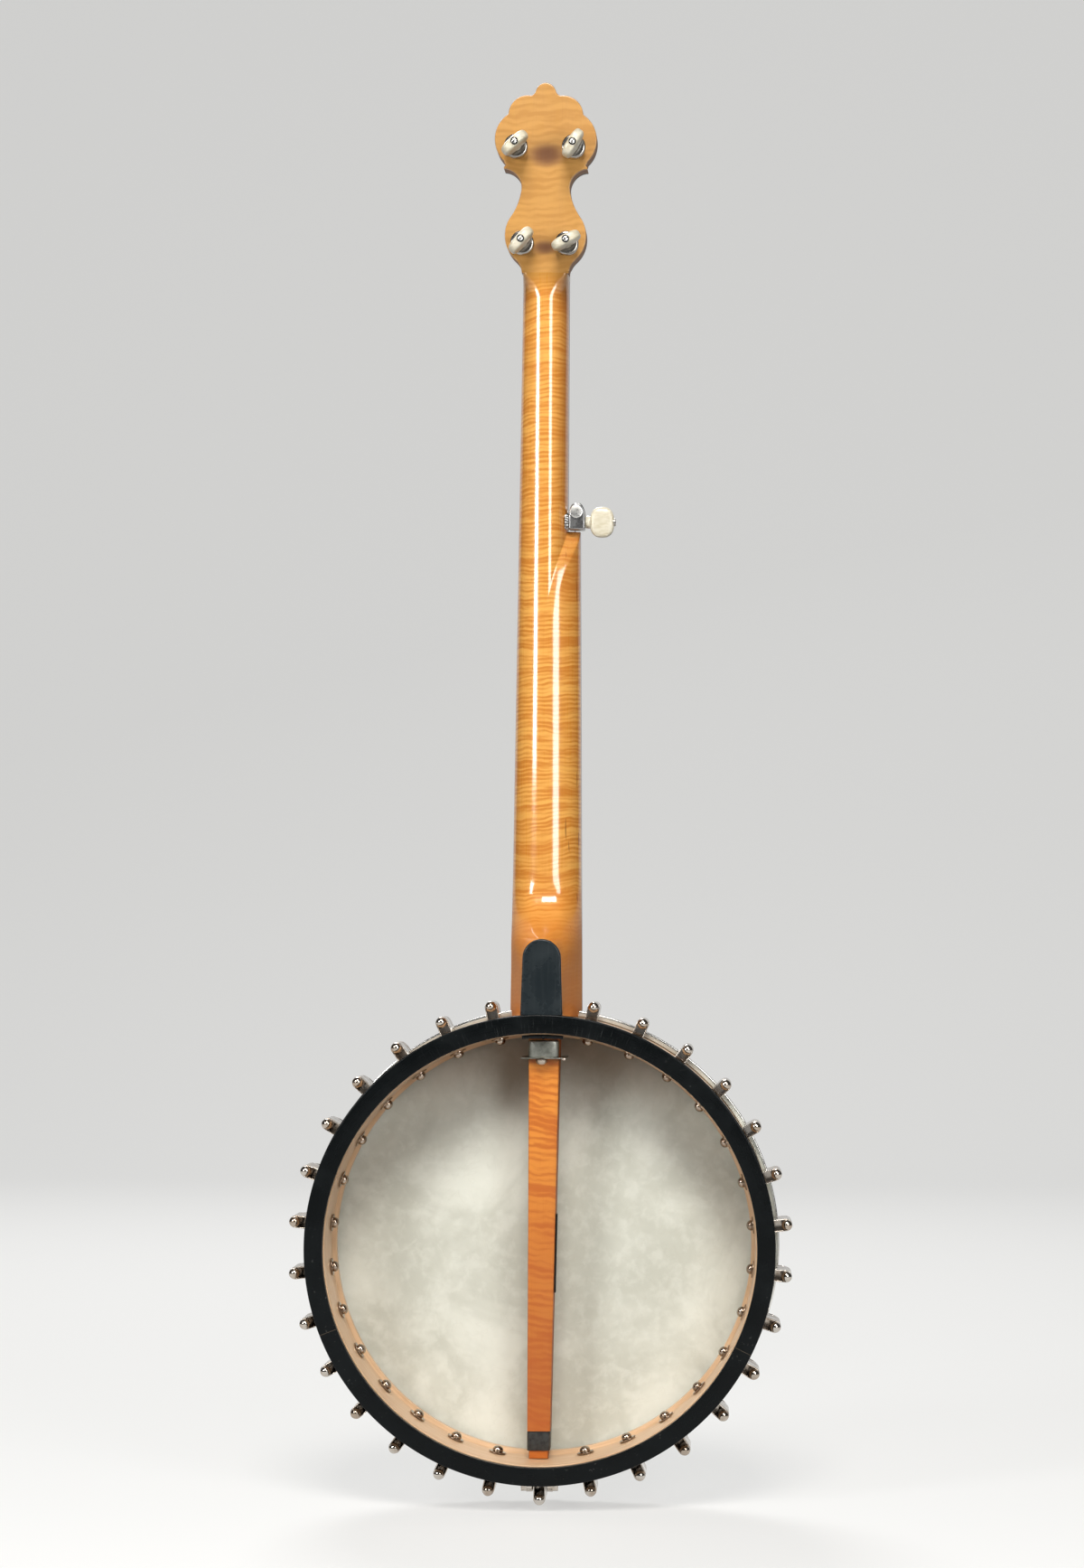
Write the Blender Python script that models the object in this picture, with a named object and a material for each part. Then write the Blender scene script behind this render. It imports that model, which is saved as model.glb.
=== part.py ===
"""An open-back banjo that hangs by its neck, peghead up.

Lengths are metres. In the pot's frame X is across, Z is up the neck, and Y is the depth:
0 at the back of the rim's cap, growing towards the head. The back faces -Y.
The neck's frame has Z along the fingerboard, 0 at the rim's face, and Y = 0 on the
fingerboard. The peghead's frame has Z = 0 at the nut and Y = 0 on the wood's front.
A hook station's frame has Z pointing out of the rim and X along it.
"""

import math

import bmesh
import bpy
from mathutils import Matrix, Vector

GAP = 0.0003  # what touching pieces keep between them
OVERRUN = 0.0020  # how far a cutter runs past what it cuts

# The pot's wooden rim and its cap
CAP_RADIUS = 0.1524
CAP_WIDTH = 0.0120
CAP_THICKNESS = 0.0050
CAP_CHAMFER = 0.0008
CAP_OVERHANG = 0.0008
RIM_WALL = 0.0120
RIM_FRONT = 0.0600
RIM_LIP_WIDTH = 0.0026
RIM_LIP_THICKNESS = 0.0055

# The tone ring, the head on it and the hoop that pulls the head down
TONE_RING_INSET = 0.0015
TONE_RING_WIDTH = 0.0062
TONE_RING_HEIGHT = 0.0052
HEAD_THICKNESS = 0.0004
HEAD_ROUNDING = 0.0016
FLESH_HOOP_WIDTH = 0.0021
FLESH_HOOP_HEIGHT = 0.0034
HOOP_WALL = 0.0029
HOOP_HEIGHT = 0.0140
HOOP_RISE = 0.0025

# The tension hooks, their shoes and their bolts
HOOK_STATIONS = 30
HOOK_STANDOFF = 0.0090
HOOK_WIRE = 0.0042
HOOK_SEAT = 0.0046
NOTCH_CLEARANCE = 0.0004
TAIL_HOOK_STEP = 0.0023
HOOK_NUT_DIAMETER = 0.0070
HOOK_NUT_TIP = 0.0092
HOOK_NUT_LENGTH = 0.0150
HOOK_NUT_DOME = 0.0030
SHOE_WIDTH = 0.0088
SHOE_WALL = 0.0007
SHOE_BACK = 0.0130
SHOE_LENGTH = 0.0300
SHOE_CHANNEL = 0.0210
BOLT_DEPTH = 0.0380
BOLT_DIAMETER = 0.0040
BOLT_HEAD_DIAMETER = 0.0078
BOLT_HEAD_HEIGHT = 0.0040
TAIL_BOLT_REACH = 0.0070

# The dowel stick through the pot, its ferrule and the brace on it
DOWEL_LEFT = -0.0092
DOWEL_RIGHT_AT_HEEL = 0.0109
DOWEL_RIGHT_AT_TAIL = 0.0056
DOWEL_BACK_AT_HEEL = 0.0240
DOWEL_BACK_AT_TAIL = 0.0320
DOWEL_FRONT = 0.0500
DOWEL_CHAMFER = 0.0010
DOWEL_TENON = 0.0130
FERRULE_FROM_RIM = 0.0183
FERRULE_LENGTH = 0.0125
FERRULE_WALL = 0.0008
SADDLE_FROM_RIM = 0.0156
SADDLE_LENGTH = 0.0112
SADDLE_HEIGHT = 0.0062
BRACE_PLATE_WIDTH = 0.0297
BRACE_PLATE_THICKNESS = 0.0020
BRACE_PLATE_MARGIN = 0.0030
BRACE_FLANGE_WIDTH = 0.0270
BRACE_SCREW_DIAMETER = 0.0077
BRACE_SCREW_HEIGHT = 0.0040

# The neck, measured along the fingerboard from the rim's face
SCALE_LENGTH = 0.6699
NUT_DISTANCE = 0.4820
FRET_COUNT = 21
FIFTH_STRING_FRET = 5
NECK_TILT = math.radians(1.0)
FINGERBOARD_HEIGHT = 0.0706
FINGERBOARD_THICKNESS = 0.0055
FRET_WIDTH = 0.0020
FRET_HEIGHT = 0.0010
STEP_BEYOND_FRET = 0.0036
NECK_LEFT_AT_RIM = -0.0238
NECK_LEFT_AT_NUT = -0.0176
NECK_RIGHT_AT_RIM = 0.0238
NECK_RIGHT_AT_STEP = 0.0210
NECK_RIGHT_ABOVE_STEP = 0.0129
SHOULDER_LENGTH = 0.0620
NECK_THICKNESS_AT_NUT = 0.0225
NECK_THICKNESS_AT_HEEL = 0.0262
NECK_RIDGE = 0.0012
NECK_ROUNDNESS = 0.5
HEEL_HOLLOWNESS = 1.4
HEEL_SWEEP_POWER = 2.6
SHOULDER_TURN = 0.7
HEEL_THICKNESS = 0.0665
HEEL_WIDTH_AT_RIM = 0.0272
HEEL_WIDTH_AT_TIP = 0.0248
HEEL_LENGTH = 0.0500
HEEL_SWEEP = 0.0360
HEEL_CAP_THICKNESS = 0.0022
HEEL_CAP_CHAMFER = 0.0009
NUT_THICKNESS = 0.0048
NUT_RISE = 0.0012
NUT_SHELF = 0.0030

# The peghead, measured upwards from the nut
PEGHEAD_CENTRE = -0.0023
PEGHEAD_TILT = math.radians(2.0)
PEGHEAD_DROP = 0.0007
PEGHEAD_LENGTH = 0.1255
PEGHEAD_FOOT_HALF_WIDTH = 0.0154
PEGHEAD_THICKNESS = 0.0165
PEGHEAD_START = 0.0030
PEGHEAD_BLEND = 0.0140
PEGHEAD_SQUARENESS = 0.04
BOARD_SINK = 0.0001
OVERLAY_THICKNESS = 0.0025
OVERLAY_START = 0.0068

# The geared pegs in the peghead
UPPER_PEGS_APART = 0.0374
UPPER_PEGS_HEIGHT = 0.0824
LOWER_PEGS_APART = 0.0290
LOWER_PEGS_HEIGHT = 0.0205
PEG_BODY_DIAMETER = 0.0154
PEG_BODY_LENGTH = 0.0140
PEG_FOOT_DIAMETER = 0.0112
PEG_SLEEVE_DIAMETER = 0.0094
PEG_COLLAR_THICKNESS = 0.0016
PEG_POST_DIAMETER = 0.0060
PEG_POST_WAIST = 0.0046
PEG_POST_RISE = 0.0068
PEG_SHAFT_DIAMETER = 0.0046
PEG_SHAFT_SEAT = 0.0040
RUNNING_GAP = 0.0003
BUTTON_WIDTH = 0.0200
BUTTON_THICKNESS = 0.0082
BUTTON_LENGTH = 0.0156
BUTTON_COLLAR_DIAMETER = 0.0072
BUTTON_COLLAR_THICKNESS = 0.0012
BUTTON_SQUARENESS = 0.56
BUTTON_ANGLES = (41.0, 58.0, 48.0, 28.0)

# The fifth peg in the neck's side
FIFTH_PEG_ABOVE_STEP = 0.0060
FIFTH_PEG_DEPTH = 0.0118
FIFTH_SEAT = 0.0104
FIFTH_COLLAR_DIAMETER = 0.0110
FIFTH_COLLAR_THICKNESS = 0.0030
FIFTH_STEM_DIAMETER = 0.0070
FIFTH_STEM_LENGTH = 0.0060
FIFTH_WORM_DIAMETER = 0.0106
FIFTH_WORM_LENGTH = 0.0106
FIFTH_BARREL_DIAMETER = 0.0112
FIFTH_BARREL_LENGTH = 0.0116
FIFTH_BARREL_OFFSET = 0.0048
FIFTH_AXES_APART = 0.0063
FIFTH_SHAFT_DIAMETER = 0.0034
FIFTH_CAP_DIAMETER = 0.0085
FIFTH_CAP_THICKNESS = 0.0014
FIFTH_POST_RISE = 0.0050

# The strings, what they cross and what holds them
STRING_DIAMETER = 0.0007
COIL_PITCH = 0.0012
COIL_STEPS = 7
BRIDGE_HEIGHT = 0.0127
BRIDGE_LENGTH = 0.0700
BRIDGE_FOOT_THICKNESS = 0.0066
BRIDGE_TOP_THICKNESS = 0.0026
BRIDGE_ARCH_HEIGHT = 0.0062
BRIDGE_SPACING = 0.0108
NUT_SPACING = 0.0080
PIP_DIAMETER = 0.0020
PIP_DEPTH = 0.0020
PIP_INSET = 0.0036
TAIL_SPACING = 0.0050
TAILPIECE_WIDTH = 0.0300
TAILPIECE_LENGTH = 0.0300
TAILPIECE_THICKNESS = 0.0020
TAIL_LEG_WIDTH = 0.0042
TAIL_LEG_CLEARANCE = 0.0006
TAIL_FOOT_WIDTH = 0.0076
TAIL_FOOT_BACK = 0.0150

# What is worked out from the values above
RIM_RADIUS = CAP_RADIUS - CAP_OVERHANG
RIM_INNER_RADIUS = RIM_RADIUS - RIM_WALL
HOOK_CIRCLE = RIM_RADIUS + HOOK_STANDOFF
FERRULE_START = RIM_INNER_RADIUS - FERRULE_FROM_RIM
SADDLE_START = RIM_INNER_RADIUS - SADDLE_FROM_RIM
HEAD_BACK = RIM_FRONT + GAP + TONE_RING_HEIGHT + GAP
HEAD_FRONT = HEAD_BACK + HEAD_THICKNESS
SKIRT_INNER_RADIUS = RIM_RADIUS + GAP
SKIRT_RADIUS = SKIRT_INNER_RADIUS + HEAD_THICKNESS
HOOP_FRONT = HEAD_FRONT + HOOP_RISE
HOOP_BACK = HOOP_FRONT - HOOP_HEIGHT
HOOP_INNER_RADIUS = SKIRT_RADIUS + GAP
HOOP_RADIUS = HOOP_INNER_RADIUS + HOOP_WALL
NECK_TOP = -FINGERBOARD_THICKNESS - GAP
FIFTH_FRET_DISTANCE = NUT_DISTANCE - SCALE_LENGTH * (1 - 2 ** (-FIFTH_STRING_FRET / 12))
STEP_DISTANCE = FIFTH_FRET_DISTANCE + STEP_BEYOND_FRET
FIFTH_PEG_DISTANCE = STEP_DISTANCE + FIFTH_PEG_ABOVE_STEP
FIFTH_POST_X = FIFTH_SEAT + GAP + FIFTH_COLLAR_THICKNESS + FIFTH_BARREL_OFFSET
NUT_END = NUT_DISTANCE + GAP + NUT_THICKNESS + 0.0005
OVERLAY_FRONT = GAP + OVERLAY_THICKNESS
BRIDGE_POSITION = CAP_RADIUS + NUT_DISTANCE - SCALE_LENGTH
RING_STEPS = 2 * HOOK_STATIONS
STATION_ANGLE = 2 * math.pi / HOOK_STATIONS
TAIL_STATION = HOOK_STATIONS // 2

NECK_FRAME = Matrix.Translation((0, FINGERBOARD_HEIGHT, CAP_RADIUS)) @ Matrix.Rotation(NECK_TILT, 4, "X")
PEGHEAD_FRAME = (
    NECK_FRAME
    @ Matrix.Translation((PEGHEAD_CENTRE, NECK_TOP - PEGHEAD_DROP, NUT_DISTANCE))
    @ Matrix.Rotation(PEGHEAD_TILT, 4, "X")
)
HANGER_POINT = PEGHEAD_FRAME @ Vector((0, -PEGHEAD_THICKNESS / 2, 0.012))

# Each finish: name, colour, roughness, metallic
NECK_MAPLE = ("neck_maple", (0.62, 0.33, 0.12), 0.2, 0.0)
RIM_MAPLE = ("rim_maple", (0.66, 0.42, 0.27), 0.35, 0.0)
DOWEL_MAPLE = ("dowel_maple", (0.58, 0.26, 0.09), 0.35, 0.0)
EBONY = ("ebony", (0.014, 0.016, 0.018), 0.35, 0.0)
NICKEL = ("nickel", (0.72, 0.71, 0.68), 0.18, 1.0)
PEWTER = ("pewter", (0.30, 0.30, 0.27), 0.4, 1.0)
BRASS = ("brass", (0.70, 0.52, 0.22), 0.3, 1.0)
SKIN = ("skin", (0.62, 0.58, 0.46), 0.7, 0.0)
IVOROID = ("ivoroid", (0.80, 0.75, 0.58), 0.35, 0.0)
BONE = ("bone", (0.82, 0.78, 0.68), 0.45, 0.0)
BRIDGE_MAPLE = ("bridge_maple", (0.55, 0.34, 0.18), 0.5, 0.0)


def lerp(a, b, share):
    return a + (b - a) * share


def clamp(value, low=0.0, high=1.0):
    return max(low, min(high, value))


def smooth(share):
    share = clamp(share)
    return share * share * (3 - 2 * share)


def material(finish):
    name, colour, roughness, metallic = finish
    found = bpy.data.materials.get(name)
    if found:
        return found
    made = bpy.data.materials.new(name)
    made.use_nodes = True
    made.diffuse_color = (*colour, 1.0)
    shader = made.node_tree.nodes["Principled BSDF"]
    shader.inputs["Base Color"].default_value = (*colour, 1.0)
    shader.inputs["Roughness"].default_value = roughness
    shader.inputs["Metallic"].default_value = metallic
    return made


def add(name, data, parent, location=(0, 0, 0), rotation=(0, 0, 0)):
    made = bpy.data.objects.new(name, data)
    made.location = location
    made.rotation_euler = rotation
    made.parent = parent
    bpy.context.scene.collection.objects.link(made)
    return made


def piece(name, mesh, finish, parent, location=(0, 0, 0), rotation=(0, 0, 0)):
    """A kept object, shaded smooth up to its sharp edges."""
    mesh.materials.append(material(finish))
    mesh.shade_smooth()
    mesh.set_sharp_from_angle(angle=math.radians(35))
    return add(name, mesh, parent, location, rotation)


def helper(name, mesh, parent, location=(0, 0, 0), rotation=(0, 0, 0)):
    """A shape that only cuts or joins another, left out of the model."""
    made = add(name, mesh, parent, location, rotation)
    made.hide_render = True
    made.display_type = "WIRE"
    return made


def combine(target, operation, *others):
    for other in others:
        modifier = target.modifiers.new(other.name, "BOOLEAN")
        modifier.operation = operation
        modifier.object = other


def loft(name, loops, closed=False):
    """A skin from loop to loop. Its open ends are capped, or it closes on itself."""
    shell = bmesh.new()
    rows = [[shell.verts.new(point) for point in loop] for loop in loops]
    pairs = list(zip(rows, rows[1:]))
    if closed:
        pairs.append((rows[-1], rows[0]))
    for first, second in pairs:
        for i in range(len(first)):
            j = (i + 1) % len(first)
            shell.faces.new((first[i], first[j], second[j], second[i]))
    if not closed:
        shell.faces.new(rows[0])
        shell.faces.new(rows[-1])
    bmesh.ops.recalc_face_normals(shell, faces=shell.faces)
    if shell.calc_volume(signed=True) < 0:
        bmesh.ops.reverse_faces(shell, faces=shell.faces)
    mesh = bpy.data.meshes.new(name)
    shell.to_mesh(mesh)
    shell.free()
    return mesh


def merged(name, meshes):
    """Several closed meshes in one, for a cutter that cuts in many places."""
    shell = bmesh.new()
    for mesh in meshes:
        shell.from_mesh(mesh)
    result = bpy.data.meshes.new(name)
    shell.to_mesh(result)
    shell.free()
    return result


def circle(radius, depth, steps, offset=0.0, start=0.0):
    """Points round an axis along Y that stands offset up Z, from start of a step past the top."""
    turns = [2 * math.pi * (k + start) / steps for k in range(steps)]
    return [Vector((radius * math.sin(a), depth, offset + radius * math.cos(a))) for a in turns]


def turned(name, profile, steps, closed=False, offset=0.0, start=0.0):
    """A profile of (radius, depth) points turned round an axis along Y."""
    return loft(name, [circle(radius, depth, steps, offset, start) for radius, depth in profile], closed)


def plate(name, outline, back, front):
    """An outline of (x, z) points extruded from one depth to another."""
    return loft(name, [[Vector((x, depth, z)) for x, z in outline] for depth in (back, front)])


def block(name, low, high):
    outline = [(low[0], low[2]), (high[0], low[2]), (high[0], high[2]), (low[0], high[2])]
    return plate(name, outline, low[1], high[1])


def tube(name, path, radius, sides):
    """A round wire along a path, its rings carried on from one to the next without a twist."""
    path = [Vector(point) for point in path]
    loops = []
    normal = (path[1] - path[0]).orthogonal().normalized()
    for i, point in enumerate(path):
        before = (point - path[i - 1]).normalized() if i else None
        after = (path[i + 1] - point).normalized() if i + 1 < len(path) else None
        along = ((before or after) + (after or before)).normalized()
        normal = (normal - along * normal.dot(along)).normalized()
        side = along.cross(normal)
        turns = [2 * math.pi * (k + 0.5) / sides for k in range(sides)]
        loops.append([point + (normal * math.cos(a) + side * math.sin(a)) * radius for a in turns])
    return loft(name, loops)


def arc(start, end, bulge, steps):
    """Points of the round stretch from start to end that bulges to the right of its way."""
    start, end = Vector(start), Vector(end)
    chord = (end - start).length
    if not bulge:
        return [tuple(end)]
    along = (end - start) / chord
    right = Vector((along.y, -along.x))
    half_angle = 2 * math.atan(2 * bulge / chord)
    radius = chord / (2 * math.sin(half_angle))
    points = []
    for k in range(1, steps + 1):
        angle = half_angle * (2 * k / steps - 1)
        off = radius * (math.cos(angle) - math.cos(half_angle))
        points.append(tuple((start + end) / 2 + along * radius * math.sin(angle) + right * off))
    return points


def applied(name, obj):
    """The object's mesh with its modifiers, so that copies can share it."""
    graph = bpy.context.evaluated_depsgraph_get()
    mesh = bpy.data.meshes.new_from_object(obj.evaluated_get(graph))
    mesh.name = name
    return mesh


# The pot


def make_cap(pot):
    inner = CAP_RADIUS - CAP_WIDTH
    profile = [
        (inner, 0.0),
        (CAP_RADIUS - CAP_CHAMFER, 0.0),
        (CAP_RADIUS, CAP_CHAMFER),
        (CAP_RADIUS, CAP_THICKNESS),
        (inner, CAP_THICKNESS),
    ]
    piece("rim_cap", turned("rim_cap", profile, RING_STEPS, closed=True), EBONY, pot)


def bolt_holes():
    """Holes through the rim, and into the dowel at the tail, for the shoes' bolts."""
    holes = []
    for station in range(1, HOOK_STATIONS):
        reach = TAIL_BOLT_REACH + GAP if station == TAIL_STATION else 0.004
        ends = (RIM_INNER_RADIUS - reach, RIM_RADIUS + OVERRUN)
        hole = turned("hole", [(BOLT_DIAMETER / 2 + GAP, end) for end in ends], 6, start=0.5)
        upright = Matrix.Rotation(math.radians(90), 4, "X")
        turn = Matrix.Rotation(station * STATION_ANGLE, 4, "Y")
        hole.transform(turn @ Matrix.Translation((0, BOLT_DEPTH, 0)) @ upright)
        holes.append(hole)
    return merged("bolt_holes", holes)


def make_rim(pot, holes, slot):
    back = CAP_THICKNESS + GAP
    lip = RIM_INNER_RADIUS - RIM_LIP_WIDTH
    profile = [
        (RIM_INNER_RADIUS, back),
        (RIM_RADIUS, back),
        (RIM_RADIUS, RIM_FRONT),
        (lip, RIM_FRONT),
        (lip, RIM_FRONT - RIM_LIP_THICKNESS),
        (RIM_INNER_RADIUS, RIM_FRONT - RIM_LIP_THICKNESS - RIM_LIP_WIDTH),
    ]
    rim = piece("rim", turned("rim", profile, RING_STEPS, closed=True), RIM_MAPLE, pot)
    combine(rim, "DIFFERENCE", holes, slot)


def make_tone_ring(pot):
    outer = RIM_RADIUS - TONE_RING_INSET
    back = RIM_FRONT + GAP
    profile = [
        (outer - TONE_RING_WIDTH, back),
        (outer, back),
        (outer, back + TONE_RING_HEIGHT),
        (outer - TONE_RING_WIDTH / 2, back + TONE_RING_HEIGHT),
    ]
    piece("tone_ring", turned("tone_ring", profile, RING_STEPS, closed=True), BRASS, pot)


def make_head(pot):
    """The skin, its skirt over the rim's edge, and the flesh hoop crimped to the skirt."""
    front = HOOP_BACK - GAP
    back = front - FLESH_HOOP_HEIGHT
    flesh = SKIRT_RADIUS + FLESH_HOOP_WIDTH
    profile = [
        (SKIRT_INNER_RADIUS, HEAD_BACK),
        (SKIRT_INNER_RADIUS, back),
        (flesh, back),
        (flesh, front),
        (SKIRT_RADIUS, front),
        (SKIRT_RADIUS, HEAD_FRONT - HEAD_ROUNDING),
        (SKIRT_RADIUS - HEAD_ROUNDING, HEAD_FRONT),
    ]
    piece("drum_head", turned("drum_head", profile, RING_STEPS), SKIN, pot)


def make_tension_hoop(pot):
    """The hoop, with a notch in its front edge for each hook."""
    profile = [
        (HOOP_INNER_RADIUS, HOOP_BACK),
        (HOOP_RADIUS, HOOP_BACK),
        (HOOP_RADIUS, HOOP_FRONT),
        (HOOP_INNER_RADIUS, HOOP_FRONT),
    ]
    hoop = piece("tension_hoop", turned("tension_hoop", profile, RING_STEPS, closed=True), NICKEL, pot)
    half = HOOK_WIRE / 2 + NOTCH_CLEARANCE
    notches = []
    for station in range(1, HOOK_STATIONS):
        low = (-half, HOOP_FRONT - HOOK_SEAT, HOOP_INNER_RADIUS - OVERRUN)
        notch = block("notch", low, (half, HOOP_FRONT + OVERRUN, HOOP_RADIUS + OVERRUN))
        notch.transform(Matrix.Rotation(station * STATION_ANGLE, 4, "Y"))
        notches.append(notch)
    combine(hoop, "DIFFERENCE", helper("hoop_notches", merged("notches", notches), pot))


# The tension hooks


def shoe_outline(half_width, inner_end, centre):
    """A straight-sided outline with a round outer end about the hook's centre."""
    ends = [(-half_width, inner_end), (-half_width, centre)]
    ends += arc((-half_width, centre), (half_width, centre), -half_width, 3)
    return ends + [(half_width, inner_end)]


def hook_path(centre):
    """Up from the nut, over a small bend, and down into the hoop's notch."""
    arm = HOOP_FRONT - HOOK_SEAT + GAP + HOOK_WIRE / 2
    start = HOOK_NUT_TIP + HOOK_NUT_LENGTH - HOOK_WIRE
    return [
        (0, start, centre),
        (0, arm - 0.8 * HOOK_WIRE, centre),
        (0, arm, centre - 0.8 * HOOK_WIRE),
        (0, arm, HOOP_INNER_RADIUS),
    ]


def hook_nut_profile():
    radius = HOOK_NUT_DIAMETER / 2
    return [
        (0.5 * radius, HOOK_NUT_TIP),
        (radius, HOOK_NUT_TIP + HOOK_NUT_DOME),
        (radius, HOOK_NUT_TIP + HOOK_NUT_LENGTH),
    ]


def bolt_profile(has_head):
    """The bolt as (radius, distance from the pot's axis), its round head inside the rim."""
    shank = BOLT_DIAMETER / 2
    outer_end = RIM_RADIUS + GAP + shank
    if not has_head:
        return [(shank, RIM_INNER_RADIUS - TAIL_BOLT_REACH), (shank, outer_end)]
    head = BOLT_HEAD_DIAMETER / 2
    seat = RIM_INNER_RADIUS - 2 * GAP
    return [
        (0.5 * head, seat - BOLT_HEAD_HEIGHT),
        (head, seat),
        (shank, seat),
        (shank, outer_end),
    ]


def bracket_mesh(name, parent, centre, has_head):
    """A shoe, its bolt, and its hook with the nut: the four pieces of one station, joined."""
    inner_end = RIM_RADIUS + GAP
    front = SHOE_BACK + SHOE_LENGTH
    half = SHOE_WIDTH / 2
    body = helper(name, plate(name, shoe_outline(half, inner_end, centre), SHOE_BACK, front), parent)
    channel_outline = shoe_outline(half - SHOE_WALL, inner_end - OVERRUN, centre)
    channel = plate("channel", channel_outline, SHOE_BACK - OVERRUN, SHOE_BACK + SHOE_CHANNEL)
    bolt = turned("bolt", bolt_profile(has_head), 6)
    bolt.transform(Matrix.Translation((0, BOLT_DEPTH, 0)) @ Matrix.Rotation(math.radians(90), 4, "X"))
    shapes = (
        helper("bolt", bolt, parent),
        helper("hook", tube("hook", hook_path(centre), HOOK_WIRE / 2, 5), parent),
        helper("hook_nut", turned("hook_nut", hook_nut_profile(), 6, offset=centre, start=0.5), parent),
    )
    cutter = helper("channel", channel, parent)
    combine(body, "DIFFERENCE", cutter)
    combine(body, "UNION", *shapes)
    mesh = applied(name, body)
    for obj in (body, cutter, *shapes):
        bpy.data.objects.remove(obj)
    return mesh


def make_brackets(pot):
    common = bracket_mesh("bracket", pot, HOOK_CIRCLE, True)
    tail = bracket_mesh("tail_bracket", pot, HOOK_CIRCLE + TAIL_HOOK_STEP, False)
    for mesh in (common, tail):
        mesh.materials.append(material(NICKEL))
        mesh.shade_smooth()
        mesh.set_sharp_from_angle(angle=math.radians(35))
    for station in range(1, HOOK_STATIONS):
        mesh = tail if station == TAIL_STATION else common
        add(f"bracket_{station:02d}", mesh, pot, rotation=(0, station * STATION_ANGLE, 0))


# The dowel stick and its metal


def dowel_section(height, grow=0.0):
    """The stick's outline at a height: its left side is straight, its right and back taper."""
    share = (RIM_INNER_RADIUS - height) / (2 * RIM_INNER_RADIUS)
    left = DOWEL_LEFT - grow
    right = lerp(DOWEL_RIGHT_AT_HEEL, DOWEL_RIGHT_AT_TAIL, share) + grow
    back = lerp(DOWEL_BACK_AT_HEEL, DOWEL_BACK_AT_TAIL, share) - grow
    front = DOWEL_FRONT + grow
    cut = DOWEL_CHAMFER
    corners = [
        (left + cut, back),
        (right - cut, back),
        (right, back + cut),
        (right, front - cut),
        (right - cut, front),
        (left + cut, front),
        (left, front - cut),
        (left, back + cut),
    ]
    return [Vector((x, y, height)) for x, y in corners]


def make_dowel(pot, holes):
    """The stick, set down under the ferrule at its tail."""
    under = -FERRULE_WALL - GAP
    top = RIM_RADIUS + DOWEL_TENON
    tail = -(RIM_INNER_RADIUS - 2 * GAP)
    loops = [
        dowel_section(top),
        dowel_section(-FERRULE_START + GAP),
        dowel_section(-FERRULE_START + GAP, under),
        dowel_section(tail, under),
    ]
    dowel = piece("dowel_stick", loft("dowel_stick", loops), DOWEL_MAPLE, pot)
    combine(dowel, "DIFFERENCE", holes)


def make_ferrule(pot):
    top, bottom = -FERRULE_START, -FERRULE_START - FERRULE_LENGTH
    loops = [
        dowel_section(top),
        dowel_section(bottom),
        dowel_section(bottom, -FERRULE_WALL),
        dowel_section(top, -FERRULE_WALL),
    ]
    piece("dowel_ferrule", loft("dowel_ferrule", loops, closed=True), PEWTER, pot)


def saddle_section(height):
    """The saddle's arch across the dowel's back at a height."""
    section = dowel_section(height)
    left, right, seat = DOWEL_LEFT, section[2].x, section[0].y - GAP
    rise = 0.45 * SADDLE_HEIGHT
    foot = seat - SADDLE_HEIGHT + rise
    arch = [(left, seat), (left, foot)] + arc((left, foot), (right, foot), rise, 5) + [(right, seat)]
    return [Vector((x, y, height)) for x, y in arch]


def make_brace(pot):
    """A saddle behind the dowel between a flange on the rim and a plate round the dowel."""
    start, end = SADDLE_START, SADDLE_START + SADDLE_LENGTH
    back = DOWEL_BACK_AT_HEEL
    saddle = loft("saddle", [saddle_section(z) for z in (start, end)])
    brace = piece("neck_brace", saddle, PEWTER, pot)
    half = BRACE_FLANGE_WIDTH / 2
    wall = math.sqrt(RIM_INNER_RADIUS**2 - half**2) - 2 * GAP
    flange = block("flange", (-half, back - SADDLE_HEIGHT, end - 0.001), (half, back - 2 * GAP, wall))
    half = BRACE_PLATE_WIDTH / 2
    centre = (DOWEL_LEFT + dowel_section(start)[2].x) / 2
    low = (centre - half, back - SADDLE_HEIGHT + 0.0007, start - BRACE_PLATE_THICKNESS)
    high = (centre + half, DOWEL_FRONT + BRACE_PLATE_MARGIN, start + 0.0003)
    hole_ends = (start - BRACE_PLATE_THICKNESS - OVERRUN, start + OVERRUN)
    hole = helper("brace_hole", loft("brace_hole", [dowel_section(z, GAP) for z in hole_ends]), pot)
    radius = BRACE_SCREW_DIAMETER / 2
    top = start - 0.0003
    bottom = start - BRACE_PLATE_THICKNESS - BRACE_SCREW_HEIGHT
    profile = [(0.45 * radius, bottom), (radius, bottom + 0.55 * BRACE_SCREW_HEIGHT), (radius, top)]
    screw = turned("brace_screw", profile, 10)
    screw_depth = dowel_section(bottom)[0].y - 2 * GAP - radius
    screw.transform(Matrix.Translation((0, screw_depth, 0)) @ Matrix.Rotation(math.radians(90), 4, "X"))
    parts = (
        helper("brace_flange", flange, pot),
        helper("brace_plate", block("brace_plate", low, high), pot),
        helper("brace_screw", screw, pot),
    )
    combine(brace, "UNION", *parts)
    combine(brace, "DIFFERENCE", hole)


# The neck


def neck_left(distance):
    return lerp(NECK_LEFT_AT_RIM, NECK_LEFT_AT_NUT, min(distance, NUT_DISTANCE) / NUT_DISTANCE)


def neck_right(distance):
    if distance > STEP_DISTANCE:
        return NECK_RIGHT_ABOVE_STEP
    return lerp(NECK_RIGHT_AT_RIM, NECK_RIGHT_AT_STEP, distance / STEP_DISTANCE)


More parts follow.
